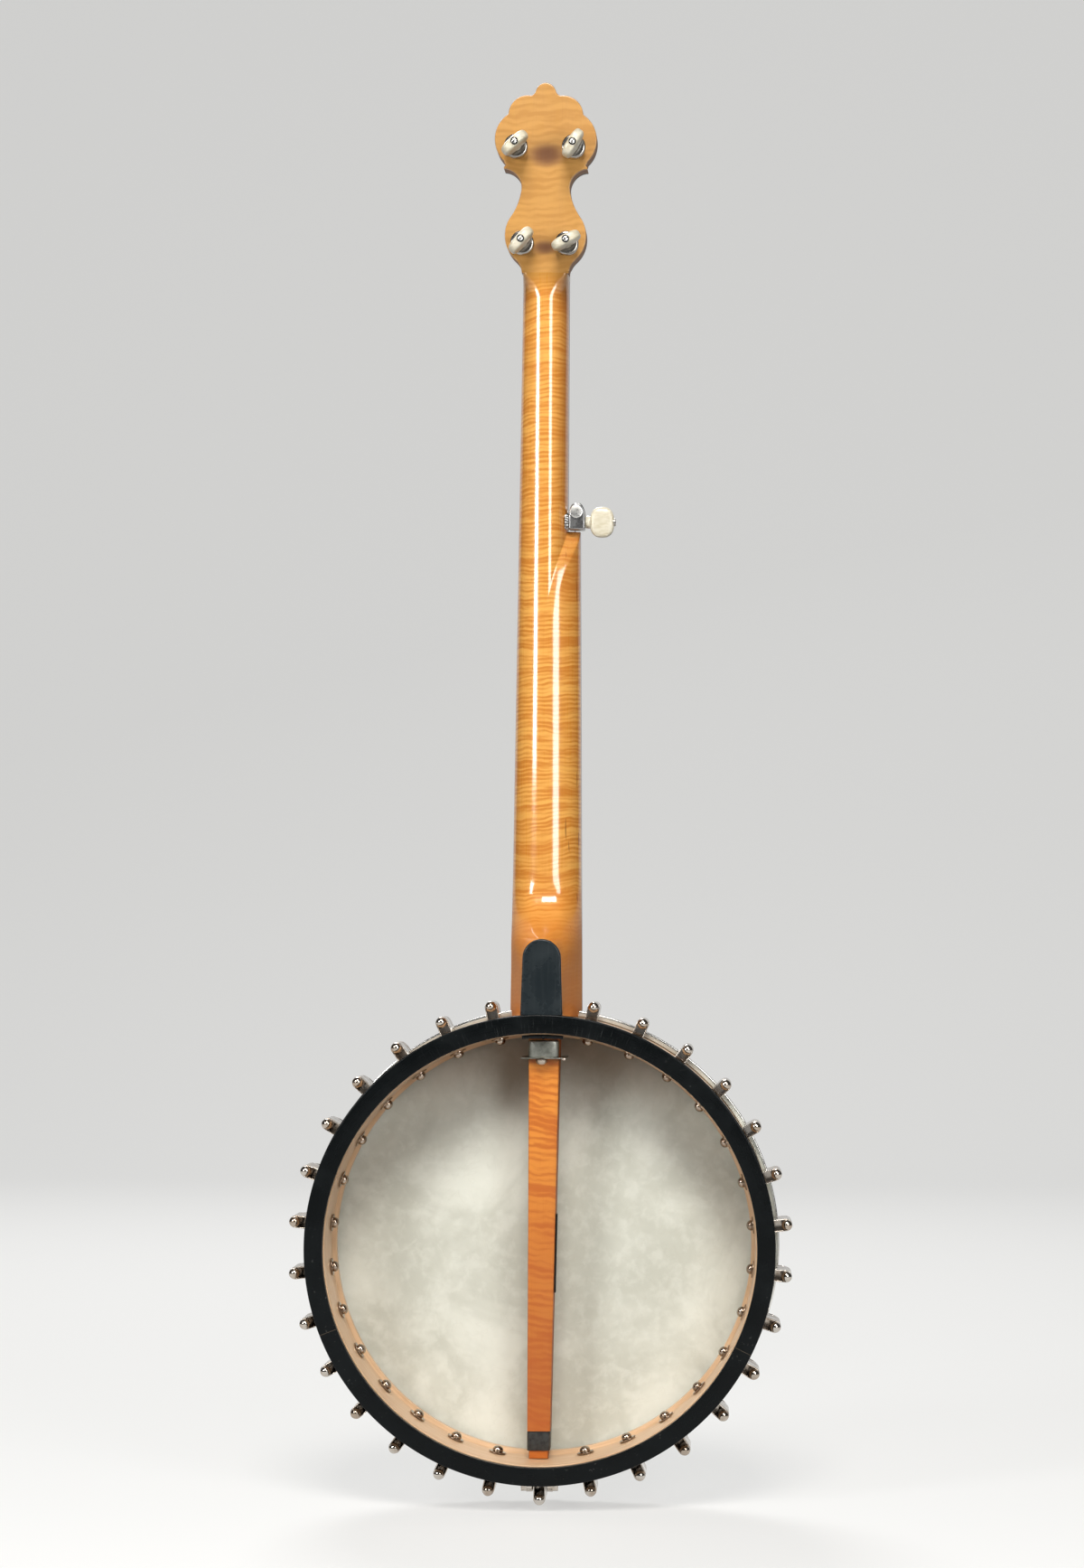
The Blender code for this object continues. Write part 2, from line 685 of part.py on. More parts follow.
def shoulder_right(distance, turn):
    """The right side's reach: below the step the wide neck comes in from its edge to its back."""
    if distance > STEP_DISTANCE:
        return NECK_RIGHT_ABOVE_STEP
    share = clamp((STEP_DISTANCE - distance) / SHOULDER_LENGTH + 1 - turn / SHOULDER_TURN)
    return lerp(NECK_RIGHT_ABOVE_STEP, neck_right(distance), smooth(share))


def into_board(distance):
    """How far the neck has turned into the peghead's board, from 0 below the nut to 1."""
    return smooth((distance - NUT_DISTANCE + PEGHEAD_BLEND) / (PEGHEAD_BLEND + PEGHEAD_START))


def neck_thickness(distance):
    """From the fingerboard's face to the back: a taper, deeper on the heel and at the board."""
    sweep_end = HEEL_LENGTH + HEEL_SWEEP
    share = (distance - sweep_end) / (NUT_DISTANCE - sweep_end)
    plain = lerp(NECK_THICKNESS_AT_HEEL, NECK_THICKNESS_AT_NUT, clamp(share))
    rest = clamp(1 - (distance - HEEL_LENGTH) / HEEL_SWEEP)
    plain += (HEEL_THICKNESS - plain) * rest**HEEL_SWEEP_POWER
    board = PEGHEAD_DROP + PEGHEAD_THICKNESS - NECK_TOP
    board += (distance - NUT_DISTANCE) * math.tan(PEGHEAD_TILT) - BOARD_SINK
    return lerp(plain, board, into_board(distance))


def heel_half_width(distance, inset=0.0):
    """Half the heel's width on its cap: a slight taper, then a round end."""
    tip = HEEL_WIDTH_AT_TIP / 2 - inset
    round_start = HEEL_LENGTH - HEEL_WIDTH_AT_TIP / 2
    if distance <= round_start:
        return lerp(HEEL_WIDTH_AT_RIM / 2 - inset, tip, clamp(distance / round_start))
    return math.sqrt(max(0.0, tip**2 - (distance - round_start) ** 2))


def neck_section(distance):
    """The neck across at a distance: a round back, which turns into the heel's hollow flanks
    below and into the peghead's square edges above."""
    heel = smooth(1 - (distance - HEEL_LENGTH) / HEEL_SWEEP)
    power = lerp(NECK_ROUNDNESS, PEGHEAD_SQUARENESS, into_board(distance))
    power = lerp(power, HEEL_HOLLOWNESS, heel)
    curve = lerp(2.0, HEEL_HOLLOWNESS, heel)
    top = NECK_TOP if distance < NUT_END else NECK_TOP - NUT_SHELF
    depth = neck_thickness(distance) + top
    spine = lerp(0.0, PEGHEAD_CENTRE, distance / NUT_DISTANCE)
    half = max(NECK_RIDGE, heel_half_width(distance)) if distance < HEEL_LENGTH else NECK_RIDGE
    left, right = [], []
    for degrees in (0, 15, 32, 50, 70, 90):
        turn = math.radians(degrees)
        down = math.sin(turn)
        flank = max(0.0, 1 - down**curve) ** power
        y = top - depth * down
        left.append(Vector((lerp(spine - half, neck_left(distance), flank), y, distance)))
        right.append(Vector((lerp(spine + half, shoulder_right(distance, turn), flank), y, distance)))
    return left + right[::-1]


def neck_stations():
    """Where the neck's sections stand, closer together where its form changes fast."""
    round_start = HEEL_LENGTH - HEEL_WIDTH_AT_TIP / 2
    radius = HEEL_WIDTH_AT_TIP / 2
    heel = [-0.006, 0.018] + [round_start + radius * math.sin(math.radians(a)) for a in (0, 30, 55, 75, 90)]
    sweep = [HEEL_LENGTH + HEEL_SWEEP * share for share in (0.04, 0.12, 0.22, 0.36, 0.55, 0.78, 1)]
    shoulder = [STEP_DISTANCE - SHOULDER_LENGTH * share for share in (2.2, 1.7, 1.25, 0.85, 0.5, 0.22)]
    middle = [lerp(sweep[-1], shoulder[0], 0.5)]
    step = [STEP_DISTANCE - 0.00005, STEP_DISTANCE + 0.00005]
    upper = [lerp(STEP_DISTANCE, NUT_DISTANCE, share) for share in (0.35, 0.7)]
    nut = [NUT_DISTANCE - PEGHEAD_BLEND * share for share in (1, 0.7, 0.42, 0.18, -0.04)]
    nut += [NUT_END - 0.0001, NUT_END + 0.0007, NUT_END + 0.0044]
    return heel + sweep + middle + shoulder + step + upper + nut


def peghead_outline():
    """The right side from the nut to the tip in (x, height) arcs, and the left as its mirror.

    Each stretch is its end, its bulge and its steps, in shares of the peghead's length."""
    stretches = [
        ((0.159, 0.096), -0.0080, 2),
        ((0.179, 0.315), 0.0422, 4),
        ((0.128, 0.438), -0.0072, 2),
        ((0.218, 0.559), -0.0351, 3),
        ((0.207, 0.578), 0.0000, 1),
        ((0.217, 0.598), 0.0000, 1),
        ((0.194, 0.838), 0.0590, 5),
        ((0.075, 0.934), 0.0343, 3),
        ((0.051, 0.961), -0.0048, 1),
        ((0.000, 1.000), 0.0096, 2),
    ]
    right = [(PEGHEAD_FOOT_HALF_WIDTH, PEGHEAD_START)]
    for (x, height), bulge, steps in stretches:
        end = (x * PEGHEAD_LENGTH, height * PEGHEAD_LENGTH)
        right += arc(right[-1], end, bulge * PEGHEAD_LENGTH, steps)
    return right + [(-x, z) for x, z in right[-2::-1]]


def peg_places():
    """The four pegs as (name, x, height, button angle): upper then lower, left then right."""
    rows = (("upper", UPPER_PEGS_APART, UPPER_PEGS_HEIGHT), ("lower", LOWER_PEGS_APART, LOWER_PEGS_HEIGHT))
    places = []
    for row, apart, height in rows:
        for side, sign in (("left", -1), ("right", 1)):
            angle = BUTTON_ANGLES[len(places)]
            places.append((f"{row}_{side}_peg", sign * apart / 2, height, angle))
    return places


def peg_holes(peghead):
    ends = (-PEGHEAD_THICKNESS - OVERRUN, OVERLAY_FRONT + OVERRUN)
    holes = []
    for _, x, height, _ in peg_places():
        hole = turned("hole", [(PEG_SLEEVE_DIAMETER / 2 + GAP, end) for end in ends], 10)
        hole.transform(Matrix.Translation((x, 0, height)))
        holes.append(hole)
    return helper("peg_holes", merged("peg_holes", holes), peghead)


def make_neck(neck, peghead, envelope, slot, holes):
    """The neck with its heel, joined to the peghead's board."""
    wood = piece("neck", loft("neck", [neck_section(z) for z in neck_stations()]), NECK_MAPLE, neck)
    board = helper("peghead_board", plate("board", peghead_outline(), -PEGHEAD_THICKNESS, 0.0), peghead)
    seat = across("fifth_seat", [(FIFTH_COLLAR_DIAMETER / 2 + GAP, x) for x in (FIFTH_SEAT, 0.04)], 10)
    stem_ends = (FIFTH_SEAT - FIFTH_STEM_LENGTH - GAP, FIFTH_SEAT + 0.001)
    stem = across("fifth_hole", [(FIFTH_STEM_DIAMETER / 2 + GAP, x) for x in stem_ends], 8)
    combine(wood, "UNION", board)
    cutters = (helper("fifth_seat", seat, neck), helper("fifth_hole", stem, neck))
    combine(wood, "DIFFERENCE", envelope, slot, holes, *cutters)


def make_heel_cap(neck, envelope):
    """The black tongue on the heel, its edge chamfered."""
    round_start = HEEL_LENGTH - HEEL_WIDTH_AT_TIP / 2

    def outline(depth, inset):
        radius = HEEL_WIDTH_AT_TIP / 2 - inset
        right = [(heel_half_width(0.0, inset), -0.006)]
        for degrees in (0, 22, 45, 67):
            turn = math.radians(degrees)
            right.append((radius * math.cos(turn), round_start + radius * math.sin(turn)))
        mirrored = [(-x, z) for x, z in right[::-1]]
        tip = [(0.0, round_start + radius)]
        return [Vector((x, depth, z)) for x, z in right + tip + mirrored]

    front = -HEEL_THICKNESS - GAP
    back = front - HEEL_CAP_THICKNESS
    loops = [outline(front, 0.0), outline(back + HEEL_CAP_CHAMFER, 0.0), outline(back, HEEL_CAP_CHAMFER)]
    cap = piece("heel_cap", loft("heel_cap", loops), EBONY, neck)
    combine(cap, "DIFFERENCE", envelope)


def fret_distance(number):
    return NUT_DISTANCE - SCALE_LENGTH * (1 - 2 ** (-number / 12))


def make_fingerboard(neck, envelope):
    """The board and its frets in one skin: at each fret the top rises and falls again."""
    stations = [(NUT_DISTANCE, 0.0), (STEP_DISTANCE + 0.00005, 0.0), (STEP_DISTANCE - 0.00005, 0.0)]
    for number in range(1, FRET_COUNT + 1):
        z = fret_distance(number)
        half = FRET_WIDTH / 2
        stations += [(z + half, 0.0), (z, FRET_HEIGHT), (z - half, 0.0)]
    stations.append((-0.004, 0.0))
    loops = []
    for z, top in sorted(stations, reverse=True):
        left, right = neck_left(z), neck_right(z)
        under = -FINGERBOARD_THICKNESS
        corners = [(left, under), (left, top), (right, top), (right, under)]
        loops.append([Vector((x, y, z)) for x, y in corners])
    board = piece("fingerboard", loft("fingerboard", loops), EBONY, neck)
    hole_ends = (-PIP_DEPTH - GAP, OVERRUN)
    hole = turned("pip_hole", [(PIP_DIAMETER / 2 + GAP, depth) for depth in hole_ends], 8)
    combine(board, "DIFFERENCE", envelope, helper("pip_hole", hole, neck, location=pip_place()))


def make_nut(neck):
    low = (neck_left(NUT_DISTANCE), NECK_TOP + GAP, NUT_DISTANCE + GAP)
    high = (NECK_RIGHT_ABOVE_STEP, NUT_RISE, NUT_DISTANCE + GAP + NUT_THICKNESS)
    piece("string_nut", block("string_nut", low, high), BONE, neck)


def pip_place():
    """Where the fifth string's small nut stands on the fingerboard."""
    return (NECK_RIGHT_AT_STEP - PIP_INSET, 0, STEP_DISTANCE - PIP_DIAMETER / 2 - GAP)


def make_pip(neck):
    radius = PIP_DIAMETER / 2
    profile = [(radius, -PIP_DEPTH), (radius, 0.5 * NUT_RISE), (0.8 * radius, NUT_RISE)]
    piece("fifth_string_pip", turned("fifth_string_pip", profile, 8), BONE, neck, location=pip_place())


def make_overlay(peghead, holes):
    shape = plate("overlay", peghead_outline(), GAP, OVERLAY_FRONT)
    overlay = piece("peghead_overlay", shape, EBONY, peghead)
    low = (-0.05, -0.01, -0.02)
    trim = helper("overlay_trim", block("trim", low, (0.05, 0.01, OVERLAY_START)), peghead)
    combine(overlay, "DIFFERENCE", holes, trim)


# The pegs


def across(name, profile, sides):
    """A turned shape whose axis runs along X at the fifth peg."""
    mesh = turned(name, profile, sides)
    place = Matrix.Translation((0, -FIFTH_PEG_DEPTH, FIFTH_PEG_DISTANCE))
    mesh.transform(place @ Matrix.Rotation(math.radians(-90), 4, "Z"))
    return mesh


def squared(value):
    """A circle's coordinate moved out, so that the circle becomes a rounded square."""
    return math.copysign(abs(value) ** BUTTON_SQUARENESS, value)


def button_loops(shaft, start, end, sides):
    """Loops from the shaft's inner end to the button's tip, along +Y.

    The button is a fat ellipse in length and width, its sections are rounded rectangles, and its
    thickness fades only near both ends."""
    collar = BUTTON_COLLAR_DIAMETER / 2
    loops = [circle(shaft / 2, start, sides), circle(shaft / 2, end, sides)]
    loops += [circle(collar, end + step, sides) for step in (0.0002, BUTTON_COLLAR_THICKNESS)]
    base = end + BUTTON_COLLAR_THICKNESS
    for share in (0.05, 0.18, 0.38, 0.62, 0.82, 0.96):
        middle = abs(2 * share - 1)
        wide = BUTTON_WIDTH / 2 * (1 - middle**2.6) ** (1 / 2.6)
        thick = BUTTON_THICKNESS / 2 * (1 - middle**5) ** (1 / 3)
        depth = base + BUTTON_LENGTH * share
        ring = circle(1.0, depth, sides)
        loops.append([Vector((squared(p.x) * wide, depth, squared(p.z) * thick)) for p in ring])
    return loops


def make_peg(peghead, name, x, height, angle):
    """A geared peg: the body through the peghead, the post in front and the button behind."""
    back = -PEGHEAD_THICKNESS - GAP
    rear = back - PEG_BODY_LENGTH
    body, foot, sleeve = PEG_BODY_DIAMETER / 2, PEG_FOOT_DIAMETER / 2, PEG_SLEEVE_DIAMETER / 2
    shaft_bore = PEG_SHAFT_DIAMETER / 2 + RUNNING_GAP
    post_bore = PEG_POST_DIAMETER / 2 + RUNNING_GAP
    front = OVERLAY_FRONT + GAP
    web = back + 0.002
    profile = [
        (shaft_bore, rear + PEG_SHAFT_SEAT),
        (shaft_bore, rear),
        (body - 0.0010, rear),
        (body, rear + 0.0012),
        (body, rear + 0.55 * PEG_BODY_LENGTH),
        (foot, rear + 0.75 * PEG_BODY_LENGTH),
        (foot, back),
        (sleeve, back),
        (sleeve, front),
        (foot, front),
        (foot - 0.0006, front + PEG_COLLAR_THICKNESS),
        (post_bore, front + PEG_COLLAR_THICKNESS),
        (post_bore, web),
    ]
    place = (x, 0, height)
    piece(f"{name}_body", turned("peg_body", profile, 9), NICKEL, peghead, location=place)
    post, waist = PEG_POST_DIAMETER / 2, PEG_POST_WAIST / 2
    top = front + PEG_POST_RISE
    profile = [
        (post, web + RUNNING_GAP),
        (post, front + PEG_COLLAR_THICKNESS + 0.0003),
        (waist, front + PEG_COLLAR_THICKNESS + 0.0008),
        (waist, top - 0.0012),
        (post, top - 0.0006),
        (0.8 * post, top),
    ]
    piece(f"{name}_post", turned("peg_post", profile, 8), NICKEL, peghead, location=place)
    shaft_end = -rear - PEG_SHAFT_SEAT + RUNNING_GAP
    loops = button_loops(PEG_SHAFT_DIAMETER, shaft_end, -rear + RUNNING_GAP, 8)
    mesh = loft("peg_button", loops)
    mesh.transform(Matrix.Rotation(math.radians(180), 4, "Z"))
    turn = (0, -math.radians(angle), 0)
    piece(f"{name}_button", mesh, IVOROID, peghead, location=place, rotation=turn)


def make_fifth_peg(neck):
    """A worm-geared peg: a collar and stem in the neck, a worm case across it and a post barrel."""
    seat = FIFTH_SEAT + GAP
    case_start = seat + FIFTH_COLLAR_THICKNESS
    case_end = case_start + FIFTH_WORM_LENGTH
    collar, stem, case = FIFTH_COLLAR_DIAMETER / 2, FIFTH_STEM_DIAMETER / 2, FIFTH_WORM_DIAMETER / 2
    bore = FIFTH_SHAFT_DIAMETER / 2 + RUNNING_GAP
    bore_end = case_end - 0.007
    profile = [
        (stem, seat - FIFTH_STEM_LENGTH),
        (stem, seat),
        (collar, seat),
        (collar, case_start - 0.0004),
        (case, case_start),
        (case, case_end - 0.0008),
        (case - 0.0008, case_end),
    ]
    body = piece("fifth_peg_body", across("fifth_peg_body", profile, 10), NICKEL, neck)
    post_place = (FIFTH_POST_X, -FIFTH_PEG_DEPTH, FIFTH_PEG_DISTANCE + FIFTH_AXES_APART)
    half = FIFTH_BARREL_LENGTH / 2
    barrel = turned("barrel", [(FIFTH_BARREL_DIAMETER / 2, end) for end in (-half, half)], 12)
    post, cap = PEG_POST_DIAMETER / 2, FIFTH_CAP_DIAMETER / 2
    hole_ends = (-half - OVERRUN, half + OVERRUN)
    post_hole = turned("post_hole", [(post + RUNNING_GAP, end) for end in hole_ends], 10)
    shaft_hole = across("fifth_shaft_hole", [(bore, bore_end), (bore, case_end + OVERRUN)], 10)
    combine(body, "UNION", helper("fifth_barrel", barrel, neck, location=post_place))
    combine(body, "DIFFERENCE", helper("fifth_post_hole", post_hole, neck, location=post_place))
    combine(body, "DIFFERENCE", helper("fifth_shaft_hole", shaft_hole, neck))
    top = FIFTH_PEG_DEPTH + FIFTH_POST_RISE
    rear = -half - RUNNING_GAP
    profile = [
        (cap, rear - FIFTH_CAP_THICKNESS),
        (cap, rear),
        (post, rear),
        (post, FIFTH_PEG_DEPTH),
        (PEG_POST_WAIST / 2, FIFTH_PEG_DEPTH + 0.0005),
        (PEG_POST_WAIST / 2, top - 0.0012),
        (post, top - 0.0006),
        (0.8 * post, top),
    ]
    piece("fifth_peg_post", turned("fifth_peg_post", profile, 8), NICKEL, neck, location=post_place)
    loops = button_loops(FIFTH_SHAFT_DIAMETER, bore_end + RUNNING_GAP, case_end + RUNNING_GAP, 8)
    mesh = loft("fifth_peg_button", loops)
    flat = Matrix.Rotation(math.radians(90), 4, "Y")
    mesh.transform(Matrix.Rotation(math.radians(-90), 4, "Z") @ flat)
    place = (0, -FIFTH_PEG_DEPTH, FIFTH_PEG_DISTANCE)
    piece("fifth_peg_button", mesh, IVOROID, neck, location=place)


# The bridge, the tailpiece and the strings


def make_bridge(pot):
    """Three feet with two arches between them, thinner towards the top."""
    half = BRIDGE_LENGTH / 2
    foot, top = half / 6, half - 0.010
    arch = BRIDGE_ARCH_HEIGHT
    right = [(foot / 2, 0.0), (foot / 2 + 0.002, arch), (half - foot - 0.002, arch), (half - foot, 0.0)]
    right += [(half, 0.0), (half - 0.001, 0.5 * arch), (top, BRIDGE_HEIGHT)]
    outline = right + [(-x, rise) for x, rise in right[::-1]]
    back = HEAD_FRONT + GAP
    loops = []
    for side in (-1, 1):
        loop = []
        for x, rise in outline:
            thickness = lerp(BRIDGE_FOOT_THICKNESS, BRIDGE_TOP_THICKNESS, rise / BRIDGE_HEIGHT)
            loop.append(Vector((x, back + rise, BRIDGE_POSITION + side * thickness / 2)))
        loops.append(loop)
    piece("bridge", loft("bridge", loops), BRIDGE_MAPLE, pot)


def coil(centre, turns, radius, top, hand):
    """A string round a post: hand is +1 where it comes up on the post's right side."""
    points = []
    for k in range(round(COIL_STEPS * turns) + 1):
        angle = 2 * math.pi * k / COIL_STEPS
        x = centre[0] + hand * radius * math.cos(angle)
        z = centre[1] + radius * math.sin(angle)
        points.append(Vector((x, top - COIL_PITCH * k / COIL_STEPS, z)))
    return points


def string_paths():
    """Each string from the tailpiece over the bridge and the nut to its turn on the post."""
    radius = STRING_DIAMETER / 2
    start = HOOP_FRONT + GAP + TAILPIECE_THICKNESS / 2
    start_height = -(HOOP_RADIUS - TAILPIECE_LENGTH + 0.0030)
    bridge_top = HEAD_FRONT + GAP + BRIDGE_HEIGHT + GAP + radius
    coil_radius = PEG_POST_WAIST / 2 + GAP + radius
    pegs = {name: (x, height) for name, x, height, _ in peg_places()}
    order = ("lower_left_peg", "upper_left_peg", "upper_right_peg", "lower_right_peg")
    paths = []
    for i, name in enumerate(order):
        offset = i - 2
        nut_x = PEGHEAD_CENTRE + (i - 1.5) * NUT_SPACING
        over_nut = Vector((nut_x, NUT_RISE + GAP + radius, NUT_DISTANCE + NUT_THICKNESS / 2))
        x, height = pegs[name]
        coil_top = OVERLAY_FRONT + GAP + PEG_POST_RISE - 0.0012 - GAP - radius
        wound = coil((x, height), 1, coil_radius, coil_top, 1 if x < 0 else -1)
        path = [(offset * TAIL_SPACING, start, start_height)]
        path.append((offset * BRIDGE_SPACING, bridge_top, BRIDGE_POSITION))
        path.append(NECK_FRAME @ over_nut)
        paths.append(path + [PEGHEAD_FRAME @ point for point in wound])
    x, _, z = pip_place()
    over_pip = Vector((x, NUT_RISE + GAP + radius, z))
    coil_top = FIFTH_POST_RISE - 0.0012 - GAP - radius
    wound = coil((FIFTH_POST_X, FIFTH_PEG_DISTANCE + FIFTH_AXES_APART), 1, coil_radius, coil_top, -1)
    path = [(2 * TAIL_SPACING, start, start_height), (2 * BRIDGE_SPACING, bridge_top, BRIDGE_POSITION)]
    paths.append(path + [NECK_FRAME @ point for point in [over_pip] + wound])
    return paths


def make_tailpiece(pot):
    """The string plate over the hoop, its two legs either side of the tail shoe, and the
    strings looped on it."""
    leg_inner = SHOE_WIDTH / 2 + TAIL_LEG_CLEARANCE
    leg_outer = leg_inner + TAIL_LEG_WIDTH
    neck_half = leg_outer + 0.0006
    half = TAILPIECE_WIDTH / 2
    back = HOOP_FRONT + GAP
    front = back + TAILPIECE_THICKNESS
    inner = HOOP_RADIUS + 2 * GAP
    outer = inner + TAILPIECE_THICKNESS
    end = HOOP_RADIUS - TAILPIECE_LENGTH
    right = [(neck_half, outer), (neck_half, end + 0.020), (half, end + 0.015)]
    right += [(half, end + 0.003), (0.010, end)]
    outline = right + [(-x, z) for x, z in right[::-1]]
    turn = (0, TAIL_STATION * STATION_ANGLE, 0)
    body = piece("tailpiece", plate("tailpiece", outline, back, front), NICKEL, pot, rotation=turn)
    shapes = []
    for side in (-1, 1):
        low, high = sorted((side * leg_inner, side * leg_outer))
        leg = block("leg", (low, TAIL_FOOT_BACK, inner), (high, front - 0.0004, outer - 0.0002))
        low, high = sorted((side * (leg_inner + 0.0003), side * (leg_inner + TAIL_FOOT_WIDTH)))
        foot_low = (low, TAIL_FOOT_BACK + 0.0002, RIM_RADIUS + 3 * GAP)
        foot = block("foot", foot_low, (high, TAIL_FOOT_BACK + TAILPIECE_THICKNESS, outer - 0.0006))
        shapes.append(helper("tail_leg", leg, pot, rotation=turn))
        shapes.append(helper("tail_foot", foot, pot, rotation=turn))
    for path in string_paths():
        shapes.append(helper("string", tube("string", path, STRING_DIAMETER / 2, 3), pot))
    combine(body, "UNION", *shapes)


def main():
    for obj in list(bpy.data.objects):
        bpy.data.objects.remove(obj)
    pot = add("pot_frame", None, None, location=-HANGER_POINT)
    neck = add("neck_frame", None, pot, location=NECK_FRAME.translation, rotation=(NECK_TILT, 0, 0))
    peghead_place = (PEGHEAD_CENTRE, NECK_TOP - PEGHEAD_DROP, NUT_DISTANCE)
    peghead = add("peghead_frame", None, neck, location=peghead_place, rotation=(PEGHEAD_TILT, 0, 0))

    slot_ends = (RIM_INNER_RADIUS - 0.004, RIM_RADIUS + DOWEL_TENON + GAP)
    slot = helper("dowel_slot", loft("dowel_slot", [dowel_section(z, GAP) for z in slot_ends]), pot)
    holes = helper("bolt_holes", bolt_holes(), pot)
    profile = [
        (CAP_RADIUS + GAP, -0.02),
        (CAP_RADIUS + GAP, CAP_THICKNESS + GAP),
        (RIM_RADIUS + GAP, CAP_THICKNESS + GAP),
        (RIM_RADIUS + GAP, HOOP_BACK - FLESH_HOOP_HEIGHT - 2 * GAP),
        (HOOP_RADIUS + GAP, HOOP_BACK - FLESH_HOOP_HEIGHT - 2 * GAP),
        (HOOP_RADIUS + GAP, HOOP_FRONT + 0.03),
    ]
    envelope = helper("pot_envelope", turned("pot_envelope", profile, RING_STEPS), pot)

    make_cap(pot)
    make_rim(pot, holes, slot)
    make_tone_ring(pot)
    make_head(pot)
    make_tension_hoop(pot)
    make_brackets(pot)
    make_dowel(pot, holes)
    make_ferrule(pot)
    make_brace(pot)

    openings = peg_holes(peghead)
    make_neck(neck, peghead, envelope, slot, openings)
    make_heel_cap(neck, envelope)
    make_fingerboard(neck, envelope)
    make_nut(neck)
    make_pip(neck)
    make_overlay(peghead, openings)
    for name, x, height, angle in peg_places():
        make_peg(peghead, name, x, height, angle)
    make_fifth_peg(neck)
    make_bridge(pot)
    make_tailpiece(pot)


main()
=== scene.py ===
"""The looks of an open-back banjo: every piece as a fine surface with its own finish.

Lengths are metres. The pot's frame has X across, Z up the neck and Y the depth, 0 at the
back of the rim's cap. The neck's frame has Z along the fingerboard from the rim's face and
Y = 0 on it. The peghead's frame has Z = 0 at the nut and Y = 0 on the wood's front.
"""

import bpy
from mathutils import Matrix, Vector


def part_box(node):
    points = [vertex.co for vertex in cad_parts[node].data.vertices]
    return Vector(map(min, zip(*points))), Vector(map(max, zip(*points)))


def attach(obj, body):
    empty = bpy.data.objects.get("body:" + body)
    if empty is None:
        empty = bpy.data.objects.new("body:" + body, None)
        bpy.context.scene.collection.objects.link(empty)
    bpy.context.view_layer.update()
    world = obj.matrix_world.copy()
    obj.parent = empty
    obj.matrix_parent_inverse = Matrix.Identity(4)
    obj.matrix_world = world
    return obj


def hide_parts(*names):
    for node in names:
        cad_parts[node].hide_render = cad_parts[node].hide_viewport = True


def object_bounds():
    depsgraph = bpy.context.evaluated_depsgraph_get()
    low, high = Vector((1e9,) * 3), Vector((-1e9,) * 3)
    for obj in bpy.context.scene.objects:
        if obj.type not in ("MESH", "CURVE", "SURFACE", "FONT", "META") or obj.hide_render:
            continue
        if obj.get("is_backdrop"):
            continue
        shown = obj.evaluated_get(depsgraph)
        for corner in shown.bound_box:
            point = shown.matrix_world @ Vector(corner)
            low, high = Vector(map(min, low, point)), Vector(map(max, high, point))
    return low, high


bl_info = {
    "name": "Open-back banjo",
    "version": (1, 0, 0),
    "blender": (4, 5, 0),
    "location": "3D View > Sidebar > Banjo",
    "description": "Builds the surfaces and finishes of an open-back banjo round its frame",
    "category": "Add Mesh",
}

import math

import bmesh
import bpy
import numpy as np
from bpy.props import FloatProperty, FloatVectorProperty, PointerProperty
from mathutils import Matrix, Vector

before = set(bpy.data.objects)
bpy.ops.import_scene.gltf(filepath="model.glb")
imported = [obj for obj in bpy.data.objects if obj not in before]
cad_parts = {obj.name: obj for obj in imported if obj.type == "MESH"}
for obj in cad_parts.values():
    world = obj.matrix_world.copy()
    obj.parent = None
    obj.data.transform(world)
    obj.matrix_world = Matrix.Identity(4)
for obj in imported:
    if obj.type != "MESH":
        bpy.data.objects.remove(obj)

CAP_LOW, CAP_HIGH = (np.array(corner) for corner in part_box("rim_cap"))
POT = np.array([(CAP_LOW[0] + CAP_HIGH[0]) / 2, CAP_LOW[1], (CAP_LOW[2] + CAP_HIGH[2]) / 2])

GAP = 0.0003  # what touching pieces keep between them
MERGE = 2e-6  # points of one piece closer than this are one
TAU = 2 * math.pi
QUARTER = math.pi / 2
MM = 0.001

# The pot
CAP_RADIUS = (CAP_HIGH[0] - CAP_LOW[0]) / 2
CAP_WIDTH = 0.012
CAP_THICKNESS = 0.005
RIM_RADIUS = CAP_RADIUS - 0.0008
RIM_INNER = RIM_RADIUS - 0.012
RIM_FRONT = 0.06
RIM_LIP = 0.0026
RIM_LIP_THICKNESS = 0.0055
TONE_RING_HEIGHT = 0.0052
HEAD_BACK = RIM_FRONT + TONE_RING_HEIGHT + 2 * GAP
HEAD_FRONT = HEAD_BACK + 0.0004
SKIRT_RADIUS = RIM_RADIUS + GAP + 0.0004
HOOP_INNER = SKIRT_RADIUS + GAP
HOOP_WALL = 0.0029
HOOP_RADIUS = HOOP_INNER + HOOP_WALL
HOOP_FRONT = HEAD_FRONT + 0.0025
HOOP_DEPTH = 0.014
HOOP_BACK = HOOP_FRONT - HOOP_DEPTH
FLESH_WIRE = 0.0034
WIRE_BACK = HOOP_BACK - GAP - FLESH_WIRE

# The hooks
STATIONS = 30
TAIL_STATION = STATIONS // 2
HOOK_CIRCLE = 0.1606
TAIL_STEP = 0.0023
HOOK_WIRE = 0.0042
HOOK_SEAT = 0.0046
SHOE_WIDTH = 0.0078
SHOE_WALL = 0.0006
SHOE_BACK = 0.013
SHOE_BEHIND = 0.0004
SHOE_LENGTH = 0.03
SHOE_CHANNEL = 0.021
NUT_TIP = 0.0092
NUT_LENGTH = 0.015
NUT_RADIUS = 0.0035
BOLT_DEPTH = 0.038
BOLT_HEAD = 0.0035

